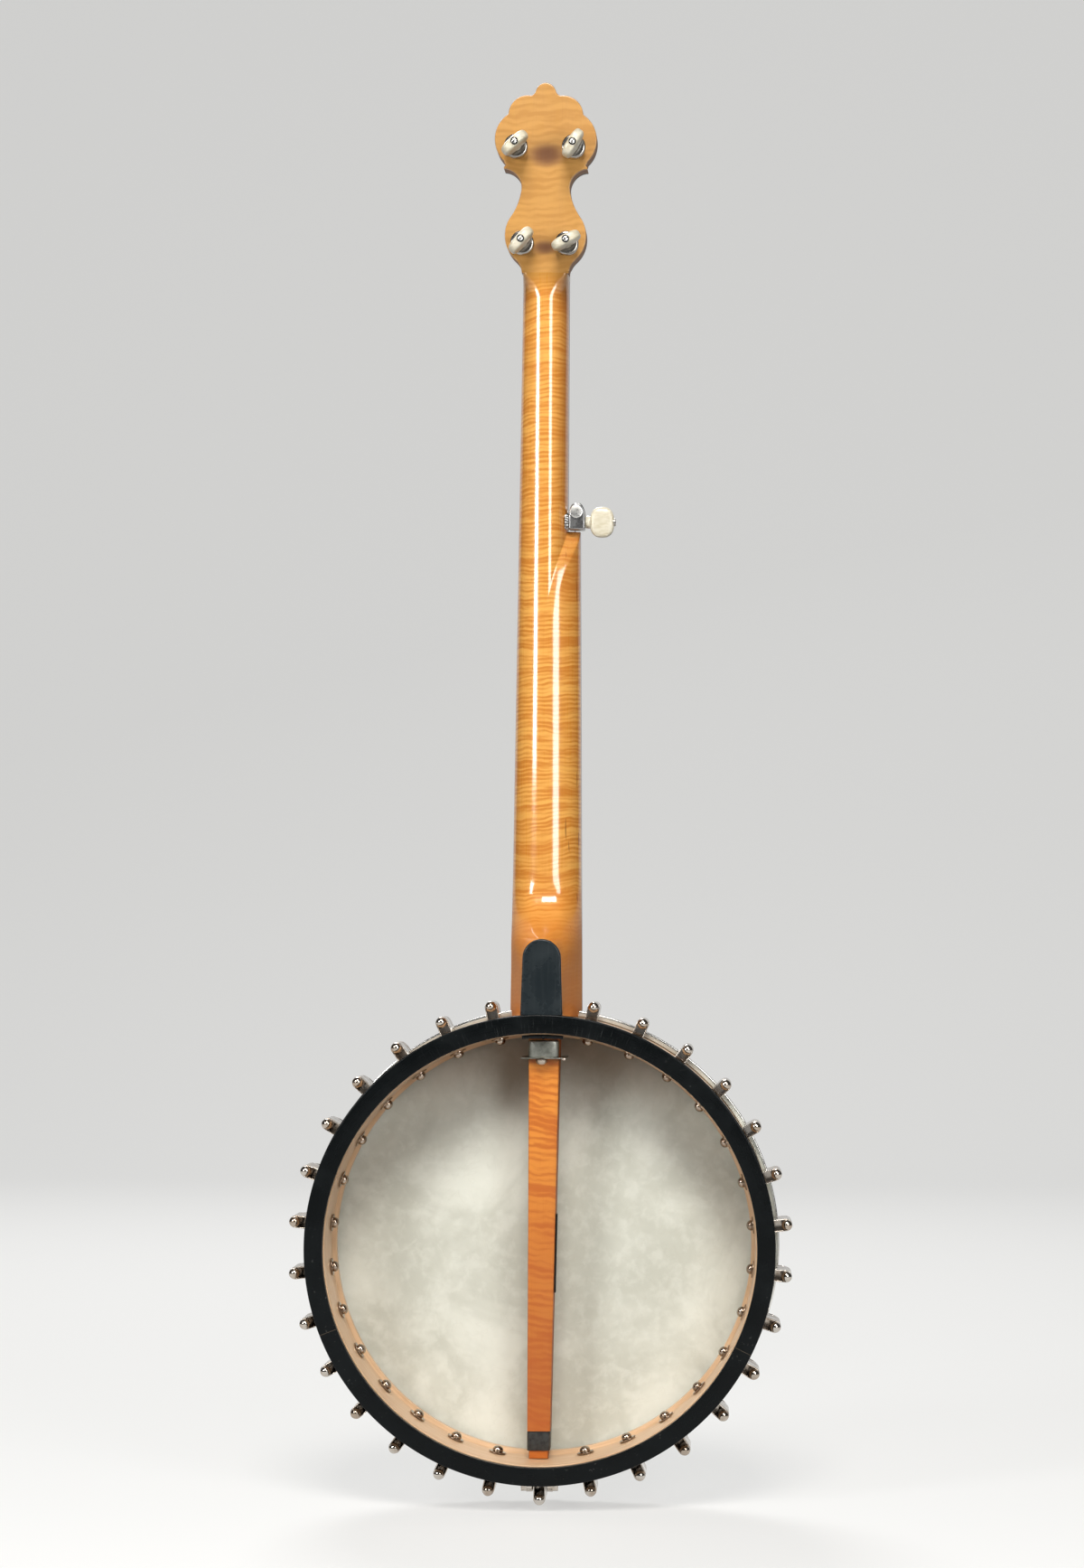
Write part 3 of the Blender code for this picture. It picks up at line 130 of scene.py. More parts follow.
# The dowel and its metal
DOWEL_LEFT = -0.0092
DOWEL_RIGHT = (0.0109, 0.0056)
DOWEL_BACK = (0.024, 0.032)
DOWEL_FRONT = 0.05
FERRULE_START = 0.1213
FERRULE_LENGTH = 0.0125
SADDLE_START = 0.124
SADDLE_LENGTH = 0.0112
SADDLE_HEIGHT = 0.0062

# The neck
SCALE_LENGTH = 0.6699
NUT_AT = 0.482
NECK_TILT = math.radians(1.0)
BOARD_HEIGHT = 0.0706
BOARD_THICKNESS = 0.0055
NECK_TOP = -BOARD_THICKNESS - GAP
FRETS = 21
STEP_AT = NUT_AT - SCALE_LENGTH * (1 - 2 ** (-5 / 12)) + 0.0036
STEP_HALF = 0.00005  # the step at the fifth peg takes twice this
NECK_LEFT = (-0.0238, -0.0176)
NECK_RIGHT = (0.0238, 0.021)
NECK_NARROW = 0.0129
SHOULDER = 0.03
CREASE = 0.2
THICKNESS = (0.0262, 0.0225)
HEEL_DEPTH = 0.0665
HEEL_HALF = (0.0136, 0.0124)
HEEL_END = 0.05
HEEL_SWEEP = 0.036

# The peghead and the pegs
PEGHEAD_AT = -0.0023
PEGHEAD_TILT = math.radians(2.0)
PEGHEAD_DROP = 0.0007
PEGHEAD_THICKNESS = 0.0165
BOARD_START = 0.003
BOARD_BLEND = 0.014
BOARD_SINK = 0.0001
OVERLAY = 0.0025
EAR = (0.0273, 0.0702)
BUTTON_ANGLES = {"upper_left": 41.0, "upper_right": 58.0, "lower_left": 48.0, "lower_right": 28.0}
BUTTON_SIZE = (0.02, 0.0156, 0.0072)
PEG_BODY_LENGTH = 0.014
FIFTH_AT = STEP_AT + 0.006
FIFTH_DEPTH = 0.0118
FIFTH_SEAT = 0.0104 + GAP
FIFTH_CASE = FIFTH_SEAT + 0.003
FIFTH_POST = (FIFTH_CASE + 0.0048, FIFTH_AT + 0.0063)
POST_RISE = 0.0068
POST_WAIST = 0.0023

# The strings and what they rest on
BRIDGE_AT = CAP_RADIUS + NUT_AT - SCALE_LENGTH
BRIDGE_HEIGHT = 0.0127
NUT_RISE = 0.0012
PIP = (NECK_RIGHT[1] - 0.0036, STEP_AT - 0.001 - GAP)
STRING_RADIUS = 0.00035
STRING_SPACING = 0.008
STRING_SINK = 0.0012  # how far a string goes down in its turn round a post
TAIL_END = HOOP_RADIUS - 0.03


def moved(x=0.0, y=0.0, z=0.0):
    matrix = np.eye(4)
    matrix[:3, 3] = (x, y, z)
    return matrix


def turned_about(axis, angle):
    """A turn about one axis by the right-hand rule."""
    matrix = np.eye(4)
    first, second = ((1, 2), (2, 0), (0, 1))["XYZ".index(axis)]
    matrix[first, first] = matrix[second, second] = math.cos(angle)
    matrix[second, first] = math.sin(angle)
    matrix[first, second] = -math.sin(angle)
    return matrix


IN_POT = moved(*POT)
IN_NECK = IN_POT @ moved(0, BOARD_HEIGHT, CAP_RADIUS) @ turned_about("X", NECK_TILT)
IN_PEGHEAD = IN_NECK @ moved(PEGHEAD_AT, NECK_TOP - PEGHEAD_DROP, NUT_AT)
IN_PEGHEAD = IN_PEGHEAD @ turned_about("X", PEGHEAD_TILT)


def placed(points, matrix):
    return points @ matrix[:3, :3].T + matrix[:3, 3]


def smooth(share):
    share = np.clip(share, 0, 1)
    return share * share * (3 - 2 * share)


def mix(a, b, share):
    return a + (b - a) * share


# Surfaces


class Skin:
    """Surfaces gathered into one mesh: grids of points with quads between neighbours, and lids."""

    def __init__(self):
        self.points = []
        self.faces = []
        self.count = 0

    def grid(self, points, rows_wrap=False, columns_wrap=False):
        """Quads join each point of the grid to the next in its row and in its column."""
        rows, columns = points.shape[:2]
        i = np.arange(rows if rows_wrap else rows - 1)[:, None]
        j = np.arange(columns if columns_wrap else columns - 1)[None, :]
        down, right = (i + 1) % rows * columns, (j + 1) % columns
        quads = np.stack([i * columns + j, i * columns + right, down + right, down + j], -1)
        self.points.append(points.reshape(-1, 3))
        self.faces.append(quads.reshape(-1, 4) + self.count)
        self.count += rows * columns
        return self

    def tube(self, points):
        """A grid whose columns wrap, with a flat lid over its first row and its last."""
        columns = points.shape[1]
        self.grid(points, columns_wrap=True)
        last = np.arange(self.count - columns, self.count)
        first = np.arange(columns) + self.count - points.shape[0] * columns
        self.faces += [first[None, ::-1], last[None]]
        return self

    def moved(self, matrix):
        self.points = [placed(points, matrix) for points in self.points]
        return self

    def copied(self, matrices):
        """The same surfaces once under each matrix."""
        copies = Skin()
        for matrix in matrices:
            copies.points += [placed(points, matrix) for points in self.points]
            copies.faces += [faces + copies.count for faces in self.faces]
            copies.count += self.count
        return copies

    def join(self, *others):
        for other in others:
            self.points += other.points
            self.faces += [faces + self.count for faces in other.faces]
            self.count += other.count
        return self

    def piece(self, name, finish, replaces=(), slot=None, sharp=40.0, body="root"):
        """The object: doubles merged, faces outwards, smooth up to its sharp edges."""
        points = np.concatenate(self.points)
        corners = np.concatenate([faces.ravel() for faces in self.faces])
        sizes = np.concatenate([np.full(len(faces), faces.shape[1]) for faces in self.faces])
        mesh = bpy.data.meshes.new(name)
        mesh.vertices.add(len(points))
        mesh.vertices.foreach_set("co", points.astype(np.float32).ravel())
        mesh.loops.add(len(corners))
        mesh.loops.foreach_set("vertex_index", corners.astype(np.int32))
        mesh.polygons.add(len(sizes))
        mesh.polygons.foreach_set("loop_start", (np.cumsum(sizes) - sizes).astype(np.int32))
        mesh.update(calc_edges=True)
        shell = bmesh.new()
        shell.from_mesh(mesh)
        bmesh.ops.remove_doubles(shell, verts=shell.verts, dist=MERGE)
        bmesh.ops.recalc_face_normals(shell, faces=shell.faces)
        shell.to_mesh(mesh)
        shell.free()
        mesh.shade_smooth()
        mesh.set_sharp_from_angle(angle=math.radians(sharp))
        mesh.materials.append(finish)
        obj = bpy.data.objects.new(name, mesh)
        bpy.context.scene.collection.objects.link(obj)
        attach(obj, body)
        if replaces:
            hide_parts(*replaces)
        return obj


def rounded(corners, radius, steps=4):
    """A closed outline with each corner eased: a quadratic curve from radius before it to radius
    after it, with the corner as its middle control."""
    corners = np.asarray(corners, float)
    radius = np.broadcast_to(np.asarray(radius, float), len(corners))[:, None]
    before, after = np.roll(corners, 1, axis=0) - corners, np.roll(corners, -1, axis=0) - corners
    before /= np.linalg.norm(before, axis=1, keepdims=True)
    after /= np.linalg.norm(after, axis=1, keepdims=True)
    t = np.linspace(0, 1, steps + 1)[None, :, None]
    first, last = (corners + before * radius)[:, None], (corners + after * radius)[:, None]
    curve = (1 - t) ** 2 * first + 2 * t * (1 - t) * corners[:, None] + t**2 * last
    return curve.reshape(-1, 2)


def carried(sections, places, axis=2):
    """A skin through outlines, each standing at its place along an axis."""
    rows = [np.insert(section, axis, place, axis=1) for section, place in zip(sections, places)]
    return Skin().tube(np.stack(rows))


def arc_of(centre, radius, start, end, steps):
    """Points round a centre, from a start angle to an end angle, anticlockwise from the right."""
    a = np.linspace(start, end, steps)
    return np.stack([centre[0] + radius * np.cos(a), centre[1] + radius * np.sin(a)], -1)


def rectangle(left, low, right, high):
    return [(left, low), (right, low), (right, high), (left, high)]


def profile(base, *pairs):
    """Pairs of radius and depth in millimetres, the depth counted from a base."""
    return [(radius * MM, base + depth * MM) for radius, depth in pairs]


def dome(radius, start, height, steps, first=0.05):
    """A quarter of an ellipse, from near the axis out to the radius and height further on."""
    a = np.linspace(first, QUARTER, steps)
    return np.stack([radius * np.sin(a), start + height * (1 - np.cos(a))], -1)


def spun(section, steps=240):
    """A section of (radius, depth) round Y: each point (r sin a, depth, r cos a)."""
    section = np.asarray(section, float)
    a = np.linspace(0, TAU, steps, endpoint=False)
    radius, depth = section[:, :1], section[:, 1:]
    return np.stack([radius * np.sin(a), depth + 0 * a, radius * np.cos(a)], -1)


def ring(section, steps=240):
    """A closed section spun round Y."""
    return Skin().grid(spun(section, steps), rows_wrap=True, columns_wrap=True)


def lathe(section, steps=32):
    """An open section spun round Y, with a flat lid at either end."""
    return Skin().tube(spun(section, steps))


def swept(path, radius, sides=12, side=(1.0, 0.0, 0.0)):
    """A round section carried along a path: at each point a circle across the path's direction,
    its first radius as near to the side direction as it can be."""
    path = np.asarray(path, float)
    along = np.gradient(path, axis=0)
    along /= np.linalg.norm(along, axis=1, keepdims=True)
    side = np.asarray(side, float)
    first = side - along * (along @ side)[:, None]
    first /= np.linalg.norm(first, axis=1, keepdims=True)
    second = np.cross(along, first)
    a = np.linspace(0, TAU, sides, endpoint=False)
    radius = np.broadcast_to(np.asarray(radius, float), len(path))[:, None, None]
    spokes = first[:, None] * np.cos(a)[None, :, None] + second[:, None] * np.sin(a)[None, :, None]
    return path[:, None] + spokes * radius


def eased_path(points, steps, bend):
    """A path of straight runs whose corners are eased over bend before and after each."""
    points = np.asarray(points, float)
    t = np.linspace(0, 1, steps)[:, None]
    runs = [points[:1]]
    for i in range(1, len(points) - 1):
        before, after = points[i - 1] - points[i], points[i + 1] - points[i]
        first = points[i] + before / np.linalg.norm(before) * bend
        last = points[i] + after / np.linalg.norm(after) * bend
        runs.append((1 - t) ** 2 * first + 2 * t * (1 - t) * points[i] + t**2 * last)
    return np.concatenate(runs + [points[-1:]])


def outwards(outline):
    """Unit normals of a closed anticlockwise outline, each square to the line between its neighbours."""
    along = np.roll(outline, -1, axis=0) - np.roll(outline, 1, axis=0)
    normals = np.stack([along[:, 1], -along[:, 0]], -1)
    return normals / np.linalg.norm(normals, axis=1, keepdims=True)


def slab(outline, low, high, edge=0.0004, axis="Y"):
    """An outline extruded in depth, both rims eased by a quarter round of edge, which is drawn in
    a little further before each flat lid, so that the lid shades flat."""
    outline = np.asarray(outline, float)
    following = np.roll(outline, -1, axis=0)
    area = np.sum(outline[:, 0] * following[:, 1] - outline[:, 1] * following[:, 0])
    if area < 0:
        outline = outline[::-1]
    normals = outwards(outline)
    t = np.linspace(0, QUARTER, 4)
    edge = np.broadcast_to(edge, len(outline))
    edge = edge[::-1] if area < 0 else edge
    inset = np.concatenate([[1.3], 1 - np.sin(t)])[:, None] * edge
    depth = np.concatenate([[0.0], 1 - np.cos(t)])[:, None] * edge
    depth = np.concatenate([low + depth, high - depth[::-1]])
    rings = outline - normals * np.concatenate([inset, inset[::-1]])[..., None]
    order = {"Y": (0, 2, 1), "Z": (0, 1, 2)}[axis]
    return Skin().tube(np.stack([rings[..., 0], rings[..., 1], depth], -1)[..., order])


def block(low, high, edge=0.0004, axis="Y"):
    """A box with all its edges eased."""
    first, second, third = {"Y": (0, 2, 1), "Z": (0, 1, 2)}[axis]
    corners = rectangle(low[first], low[second], high[first], high[second])
    return slab(rounded(corners, edge), low[third], high[third], edge, axis)


# Finishes


def math_node(operation, swapped=False):
    """An operator's method: a Math node of both operands, swapped for the reflected form."""

    def method(self, other=None):
        operands = (other, self) if swapped else (self, other)
        return self.finish.math(operation, *operands)

    return method


class Wire:
    """A node's output that Python's operators build Math nodes on."""

    def __init__(self, finish, socket):
        self.finish = finish
        self.socket = socket

    __add__, __radd__ = math_node("ADD"), math_node("ADD", True)
    __sub__, __rsub__ = math_node("SUBTRACT"), math_node("SUBTRACT", True)
    __mul__, __rmul__ = math_node("MULTIPLY"), math_node("MULTIPLY", True)
    __pow__, __rpow__ = math_node("POWER"), math_node("POWER", True)
    __abs__ = math_node("ABSOLUTE")

    def span(self, low, high, to_low=0.0, to_high=1.0):
        """Maps low..high to to_low..to_high, clamped and eased at both ends."""
        settings = {"interpolation_type": "SMOOTHSTEP", "clamp": True}
        sockets = {"Value": self, "From Min": low, "From Max": high, "To Min": to_low, "To Max": to_high}
        return self.finish.node("ShaderNodeMapRange", settings, sockets)


class Finish:
    """A material's node tree, its shader's constants set on the shader's own sockets."""

    def __init__(self, name, colour, **constants):
        self.material = bpy.data.materials.new(name)
        self.material.use_nodes = True
        self.material.diffuse_color = (*colour, 1.0)
        self.tree = self.material.node_tree
        self.shader = self.tree.nodes["Principled BSDF"]
        self.shade(base_color=colour, **constants)

    def feed(self, socket, value):
        if isinstance(value, Wire):
            self.tree.links.new(value.socket, socket)
        else:
            socket.default_value = (*value, 1.0) if socket.type == "RGBA" else value

    def shade(self, **values):
        """Values or links for the shader's sockets, each called by its name in small letters."""
        for key, value in values.items():
            name = key.replace("_", " ").title().replace("Ior", "IOR")
            self.feed(self.shader.inputs[name], value)
        return self.material

    def node(self, kind, settings=(), sockets=(), out=0):
        """A node of this kind: its settings first, then its sockets' values or links."""
        made = self.tree.nodes.new(kind)
        for key, value in dict(settings).items():
            setattr(made, key, value)
        for key, value in dict(sockets).items():
            self.feed(made.inputs[key], value)
        return Wire(self, made.outputs[out])

    def math(self, operation, first, second=None):
        sockets = {0: first} if second is None else {0: first, 1: second}
        return self.node("ShaderNodeMath", {"operation": operation}, sockets)

    def place(self):
        return self.node("ShaderNodeTexCoord", out="Object")

    def axes(self):
        """A point's own X, Y and Z."""
        split = self.node("ShaderNodeSeparateXYZ", sockets={0: self.place()})
        return [Wire(self, part) for part in split.socket.node.outputs]

    def noise(self, scale, detail=2.0, roughness=0.5, distortion=0.0):
        """Noise over the point's place at this scale or, for three values, over those."""
        if isinstance(scale, tuple):
            place, scale = self.node("ShaderNodeCombineXYZ", sockets=dict(enumerate(scale))), 1.0
        else:
            place = self.place()
        sockets = {"Vector": place, "Scale": scale, "Detail": detail, "Roughness": roughness}
        return self.node("ShaderNodeTexNoise", sockets={**sockets, "Distortion": distortion})

    def layered(self, colour, *coats):
        """Tones over a colour, each laid on by its share. A colour Mix has its colours at its
        seventh and eighth sockets and at its third output."""
        for share, tone in coats:
            sockets = {0: share, 6: colour, 7: tone}
            colour = self.node("ShaderNodeMix", {"data_type": "RGBA"}, sockets, out=2)
        return colour

    def done(self, colour, rough, height=None, depth=0.0, strength=0.0, **more):
        """The material, and its relief: a bump of this depth over the height."""
        if height is not None:
            sockets = {"Height": height, "Distance": depth, "Strength": strength}
            more["normal"] = self.node("ShaderNodeBump", sockets=sockets)
        return self.shade(base_color=colour, roughness=rough, **more)


def shared(make):
    """A finish's maker that makes it once: the material takes the maker's name."""
    name = make.__name__ + "_finish"

    def found():
        return bpy.data.materials.get(name) or make(name)

    return found


def from_pot(finish):
    """A point's place from the pot's centre."""
    return [part - float(middle) for part, middle in zip(finish.axes(), POT)]


def round_pot(finish, x, z):
    """The angle round the pot and the distance from its axis, from a place across and up."""
    return finish.math("ARCTAN2", x, z), (x * x + z * z) ** 0.5


def scaled(colour, share):
    return tuple(part * share for part in colour)


# Woods


def flame(finish, spacing, tilt, shift):
    """Figure across the grain: waves whose phase and strength wander, among finer broken bands."""
    x, y, z = finish.axes()
    slow = finish.noise((x * 34, y * 30, z * 22 + shift))
    fine = finish.noise((x * 90, y * 80, z * 150 + shift))
    strength = finish.noise((x * 45, y * 40, z * 90 + shift))
    waves = finish.math("SINE", (z - x * tilt) * (TAU / spacing) + slow * 18 + fine * 7)
    bent = z - x * tilt + slow * 0.012
    thin = finish.noise((x * 34 + shift, y * 26, bent * (1.2 / spacing)), 3.0, 0.6)
    broad = finish.noise((x * 14 + shift, y * 14, bent * (0.42 / spacing)))
    return (waves * strength * 0.12 + thin * 0.52 + broad * 0.48).span(0.39, 0.61)


def grain(finish, across=900.0, along=14.0):
    """Fine lines along the neck."""
    x, y, z = finish.axes()
    return finish.noise((x * across, y * across, z * along), 3.0, 0.6)


def maple(finish, light, dark, spacing, tilt, shift):
    """The figure between two tones, fine darker lines along it, and slow clouds of the darker."""
    lines = grain(finish)
    cloud = finish.noise(11.0, 3.0)
    bands = flame(finish, spacing, tilt, shift)
    darker = lines.span(0.5, 0.8) * 0.16, scaled(dark, 0.8)
    colour = finish.layered(dark, (bands, light), darker, (cloud.span(0.45, 0.75) * 0.35, dark))
    return colour, lines, cloud


def board_tones(finish):
    return maple(finish, (0.51, 0.255, 0.056), (0.43, 0.2, 0.036), 0.0048, 0.03, 4.0)


@shared
def neck_maple(name):
    """Amber under gloss, with short dark flecks on its right, browner where the heel meets the
    rim, with painted shade along the sides below the peghead, whose tones it takes on at its end."""
    wood = bpy.context.scene.banjo_wood
    light, dark = tuple(wood.flame_light), tuple(wood.flame_dark)
    finish = Finish(name, light, coat_roughness=0.11, coat_ior=1.8, ior=1.3)
    colour, lines, _ = maple(finish, light, dark, wood.flame_spacing, 0.06, 0.0)
    x, y, z = from_pot(finish)
    flecks = finish.noise((x * 420, y * 420, z * 36), 1.0).span(0.7, 0.76) * x.span(0.009, 0.014)
    at_heel = z.span(0.25, 0.195)
    far_right = z.span(0.36, 0.5) * x.span(0.002, 0.014)
    # painted shade on the flanks just below the nut, where the neck folds into the peghead
    painted_flank_shade = z.span(0.6, 0.635) * abs(x - PEGHEAD_AT).span(0.006, 0.015)
    at_board = z.span(0.622, 0.64)
    colour = finish.layered(
        colour, (flecks * 0.7, (0.16, 0.045, 0.012)), (at_heel * 0.85, (0.6, 0.205, 0.03)),
        (far_right * 0.6, (0.42, 0.13, 0.018)), (painted_flank_shade * 0.7, (0.36, 0.13, 0.03)),
        (at_board, board_tones(finish)[0]))
    return finish.done(colour, lines.span(0.3, 0.8, 0.26, 0.38) + at_heel * 0.3, lines, 0.00002, 0.2,
                       coat_weight=0.95 - at_board * 0.6 - at_heel * 0.9)


# Painted shadows of the pegs, between the pegs of each pair, in the peghead's frame: (x, height) and
# half the width and height
PEG_SHADOWS = (((0.001, 0.079), (0.015, 0.0095)), ((0.0002, 0.0194), (0.012, 0.006)))


@shared
def peghead_maple(name):
    """Satin, with a painted soft shadow between the pegs of each pair, and browner on its sides, partly
    a darker edge and partly painted shade.
    """
    finish = Finish(name, (0.66, 0.37, 0.13), coat_roughness=0.12)
    colour, lines, cloud = board_tones(finish)
    x, y, z = finish.axes()
    painted_peg_shadows = 0.0
    # painted shadows of the pegs, one soft dark patch between each pair
    for (across, height), (wide, tall) in PEG_SHADOWS:
        centre = placed(np.array([across, -PEGHEAD_THICKNESS, height]), IN_PEGHEAD).tolist()
        off = ((x - centre[0]) * (1 / wide)) ** 2 + ((z - centre[2]) * (1 / tall)) ** 2
        painted_peg_shadows = (off + cloud * 0.5).span(1.2, 0.1) + painted_peg_shadows
    # wall: the board's sides browner, partly a darker edge and partly painted shade
    depth = y - centre[1] + (z - centre[2]) * math.tan(PEGHEAD_TILT)
    wall = depth.span(0.0008, 0.003)
    colour = finish.layered(
        colour, (painted_peg_shadows * 0.92, (0.115, 0.028, 0.001)), (wall * 0.75, (0.13, 0.04, 0.01)))
    rough = lines.span(0.3, 0.8, 0.34, 0.46) + (wall + painted_peg_shadows) * 0.2
    return finish.done(colour, rough, lines, 0.00003, 0.3,
                       coat_weight=0.4 - cloud * 0.15 - (wall + painted_peg_shadows) * 0.4)


@shared
def dowel_maple(name):
    """Orange under thin gloss, darker downwards, with painted shade on its sides."""
    light, dark = (0.74, 0.265, 0.032), (0.54, 0.135, 0.01)
    finish = Finish(name, light, coat_roughness=0.1)
    colour, lines, _ = maple(finish, light, dark, 0.0046, -0.12, 1.3)
    _, y, z = from_pot(finish)
    share = (z * -1 + RIM_INNER) * (0.5 / RIM_INNER)
    depth = y - share * (DOWEL_BACK[1] - DOWEL_BACK[0]) - DOWEL_BACK[0]
    # wall: painted shade on the stick's sides
    wall = depth.span(0.0008, 0.003)
    colour = finish.layered(
        colour, (z.span(0.12, -0.12) * 0.75, (0.4, 0.085, 0.006)), (wall * 0.7, (0.16, 0.04, 0.006)))
    return finish.done(colour, lines.span(0.3, 0.8, 0.28, 0.42) + wall * 0.3, lines, 0.00004, 0.3,
                       coat_weight=0.35 - lines * 0.2 - wall * 0.4)


@shared
def rim_maple(name):
    """Grain that runs round the rim: the noise reads the angle, the depth and the radius."""
    finish = Finish(name, (0.55, 0.33, 0.17), coat_roughness=0.15)
    x, y, z = from_pot(finish)
    angle, radius = round_pot(finish, x, z)
    lines = finish.noise((angle * 5, y * 700, radius * 700), 3.0, 0.6)
    cloud = finish.noise(16.0, 3.0)
    colour = finish.layered((0.7, 0.47, 0.285), (lines.span(0.3, 0.75), (0.6, 0.38, 0.215)),
                            (cloud.span(0.45, 0.75) * 0.4, (0.5, 0.3, 0.16)))
    return finish.done(colour, lines.span(0.3, 0.8, 0.35, 0.5), lines, 0.00004, 0.3,
                       coat_weight=0.3 - cloud * 0.1)


@shared
def bridge_maple(name):
    finish = Finish(name, (0.55, 0.34, 0.18))
    x, y, z = finish.axes()
    lines = finish.noise((x * 60, y * 1200, z * 1200), 3.0, 0.6)
    colour = finish.layered((0.6, 0.4, 0.22), (lines.span(0.35, 0.7), (0.42, 0.24, 0.11)))
    return finish.done(colour, lines.span(0.3, 0.7, 0.45, 0.6), lines, 0.00004, 0.3)


@shared
def ebony(name):
    finish = Finish(name, (0.014, 0.016, 0.018))
    lines = grain(finish, 1100.0, 30.0)
    colour = finish.layered((0.012, 0.013, 0.014), (lines.span(0.45, 0.8), (0.035, 0.03, 0.026)))
    return finish.done(colour, lines.span(0.3, 0.8, 0.28, 0.45), lines, 0.00003, 0.3)


@shared
def heel_black(name):
    """Dark, with cloudy wear and a greyer grain."""
    base = (0.009, 0.014, 0.017)
    finish = Finish(name, base, ior=1.36)
    cloud = finish.noise(60.0, 4.0, 0.6)
    scuffs = finish.noise(840.0)
    lines = grain(finish, 500.0, 20.0)
    colour = finish.layered(base, (cloud.span(0.35, 0.75) * 0.6, (0.02, 0.027, 0.03)),
                            (lines.span(0.45, 0.8) * 0.5, (0.03, 0.036, 0.038)))
    return finish.done(colour, cloud.span(0.3, 0.8, 0.22, 0.4), scuffs, 0.00003, 0.2)


JOINTS = ((-0.1365, -0.0536), (0.1283, -0.0624))  # where the cap's pieces meet, from the pot's centre


@shared
def cap_black(name):
    """Black with cloudy wear and scuffs, fine radial scratches near the neck and a joint line at
    each end of its piece."""
    base = (0.0018, 0.0028, 0.0032)
    finish = Finish(name, base, ior=1.24)
    cloud = finish.noise(34.0, 4.0, 0.6)
    marks = finish.noise(476.0).span(0.66, 0.74) * cloud.span(0.45, 0.65)
    x, _, z = from_pot(finish)
    angle, radius = round_pot(finish, x, z)
    rays = finish.noise((angle * 190, radius * 60, 3.0)).span(0.6, 0.72) * z.span(0.12, 0.148)
    hoops = finish.noise((angle * 6, radius * 900, 1.0))
    line = 0.0
    for across, up in JOINTS:
        size = math.hypot(across, up)
        off = abs(x * (up / size) - z * (across / size))
        on_side = (x * (across / size) + z * (up / size)).span(0.05, 0.08)
        line = off.span(0.00022, 0.0001) * on_side + line
    colour = finish.layered(
        base, (cloud.span(0.35, 0.75) * 0.6, (0.006, 0.008, 0.009)), (rays * 0.35, (0.07, 0.075, 0.075)),
        (marks * 0.35, (0.1, 0.1, 0.095)), (line * 0.8, (0.09, 0.07, 0.05)))
    rough = (cloud + hoops * 0.3).span(0.45, 1.0, 0.24, 0.42)
    return finish.done(colour, rough, hoops + rays * 0.6 - line * 3, 0.00004, 0.3)


# Metals, skin and bone

# Each metal: its bright and its dull tone, roughness from and to, scale of its clouds, and its
# relief with depth and strength
METALS = {
    # nickel and bolt_metal: warm brown dull tones, partly tarnish and partly painted reflection of the
    # maple; nickel and nickel_dark are also darkened as painted reflection of a dark room
    "nickel": ((0.58, 0.54, 0.49), (0.37, 0.28, 0.2), 0.1, 0.24, 70.0, "clouds", 0.00003, 0.25),
    "bolt_metal": ((0.46, 0.39, 0.32), (0.24, 0.17, 0.12), 0.12, 0.3, 180.0, "clouds", 0.00003, 0.25),
    "nickel_hoop": ((0.72, 0.71, 0.68), (0.52, 0.51, 0.47), 0.14, 0.3, 40.0, "clouds", 0.00004, 0.3),
    "nickel_dark": ((0.4, 0.38, 0.35), (0.2, 0.18, 0.155), 0.14, 0.32, 120.0, "clouds", 0.00003, 0.25),
    "nickel_worn": ((0.34, 0.34, 0.34), (0.2, 0.2, 0.2), 0.22, 0.4, 160.0, "specks", 0.00002, 0.3),
    "nickel_brushed": ((0.84, 0.83, 0.8), (0.7, 0.69, 0.65), 0.24, 0.38, 160.0, "brushed", 0.00002, 0.3),
    "string_steel": ((0.66, 0.65, 0.63), (0.5, 0.48, 0.45), 0.18, 0.3, 300.0, "smooth", 0.0, 0.0),
    "brass": ((0.7, 0.52, 0.22), (0.42, 0.28, 0.1), 0.2, 0.42, 50.0, "clouds", 0.00004, 0.3),
    "pewter": ((0.26, 0.265, 0.235), (0.12, 0.125, 0.105), 0.3, 0.5, 210.0, "cast", 0.0001, 0.5),
    "dark_pewter": ((0.085, 0.085, 0.082), (0.045, 0.046, 0.046), 0.34, 0.55, 260.0, "cast",
                    0.0001, 0.5),
}


def make_metal(name, colour, dull, low, high, scale, relief, depth, strength):
    """A metal whose polish is clouded by handling towards its dull tone, which in the nickels and the
    bolt metal is also painted reflection, with small dark specks.
    """
    finish = Finish(name, colour, metallic=1.0)
    cloud = finish.noise(scale, 4.0, 0.6)
    specks = finish.noise(scale * 22)
    spots = specks.span(0.68, 0.76) * cloud.span(0.4, 0.65)
    shade = finish.layered(colour, (cloud.span(0.35, 0.75), dull), (spots * 0.6, scaled(dull, 0.35)))
    if relief == "clouds":
        height = cloud
    elif relief == "specks":
        height = specks
    elif relief == "cast":
        height = cloud + specks * 0.4
    elif relief == "brushed":
        x, y, z = finish.axes()
        height = finish.noise((x * 400, y * 400, z * 6000))
    else:
        height = None
    return finish.done(shade, cloud.span(0.3, 0.8, low, high) + spots * 0.2, height, depth, strength)


def metal(kind):
    name = kind + "_finish"
    return bpy.data.materials.get(name) or make_metal(name, *METALS[kind])


@shared
def dark_lacquer(name):
    """A painted shadow in a hole round a screw, and the stick's dark side plate."""
    black = (0.006, 0.006, 0.006)
    finish = Finish(name, black, ior=1.25)
    return finish.done(black, finish.noise(400.0).span(0.3, 0.7, 0.35, 0.6))


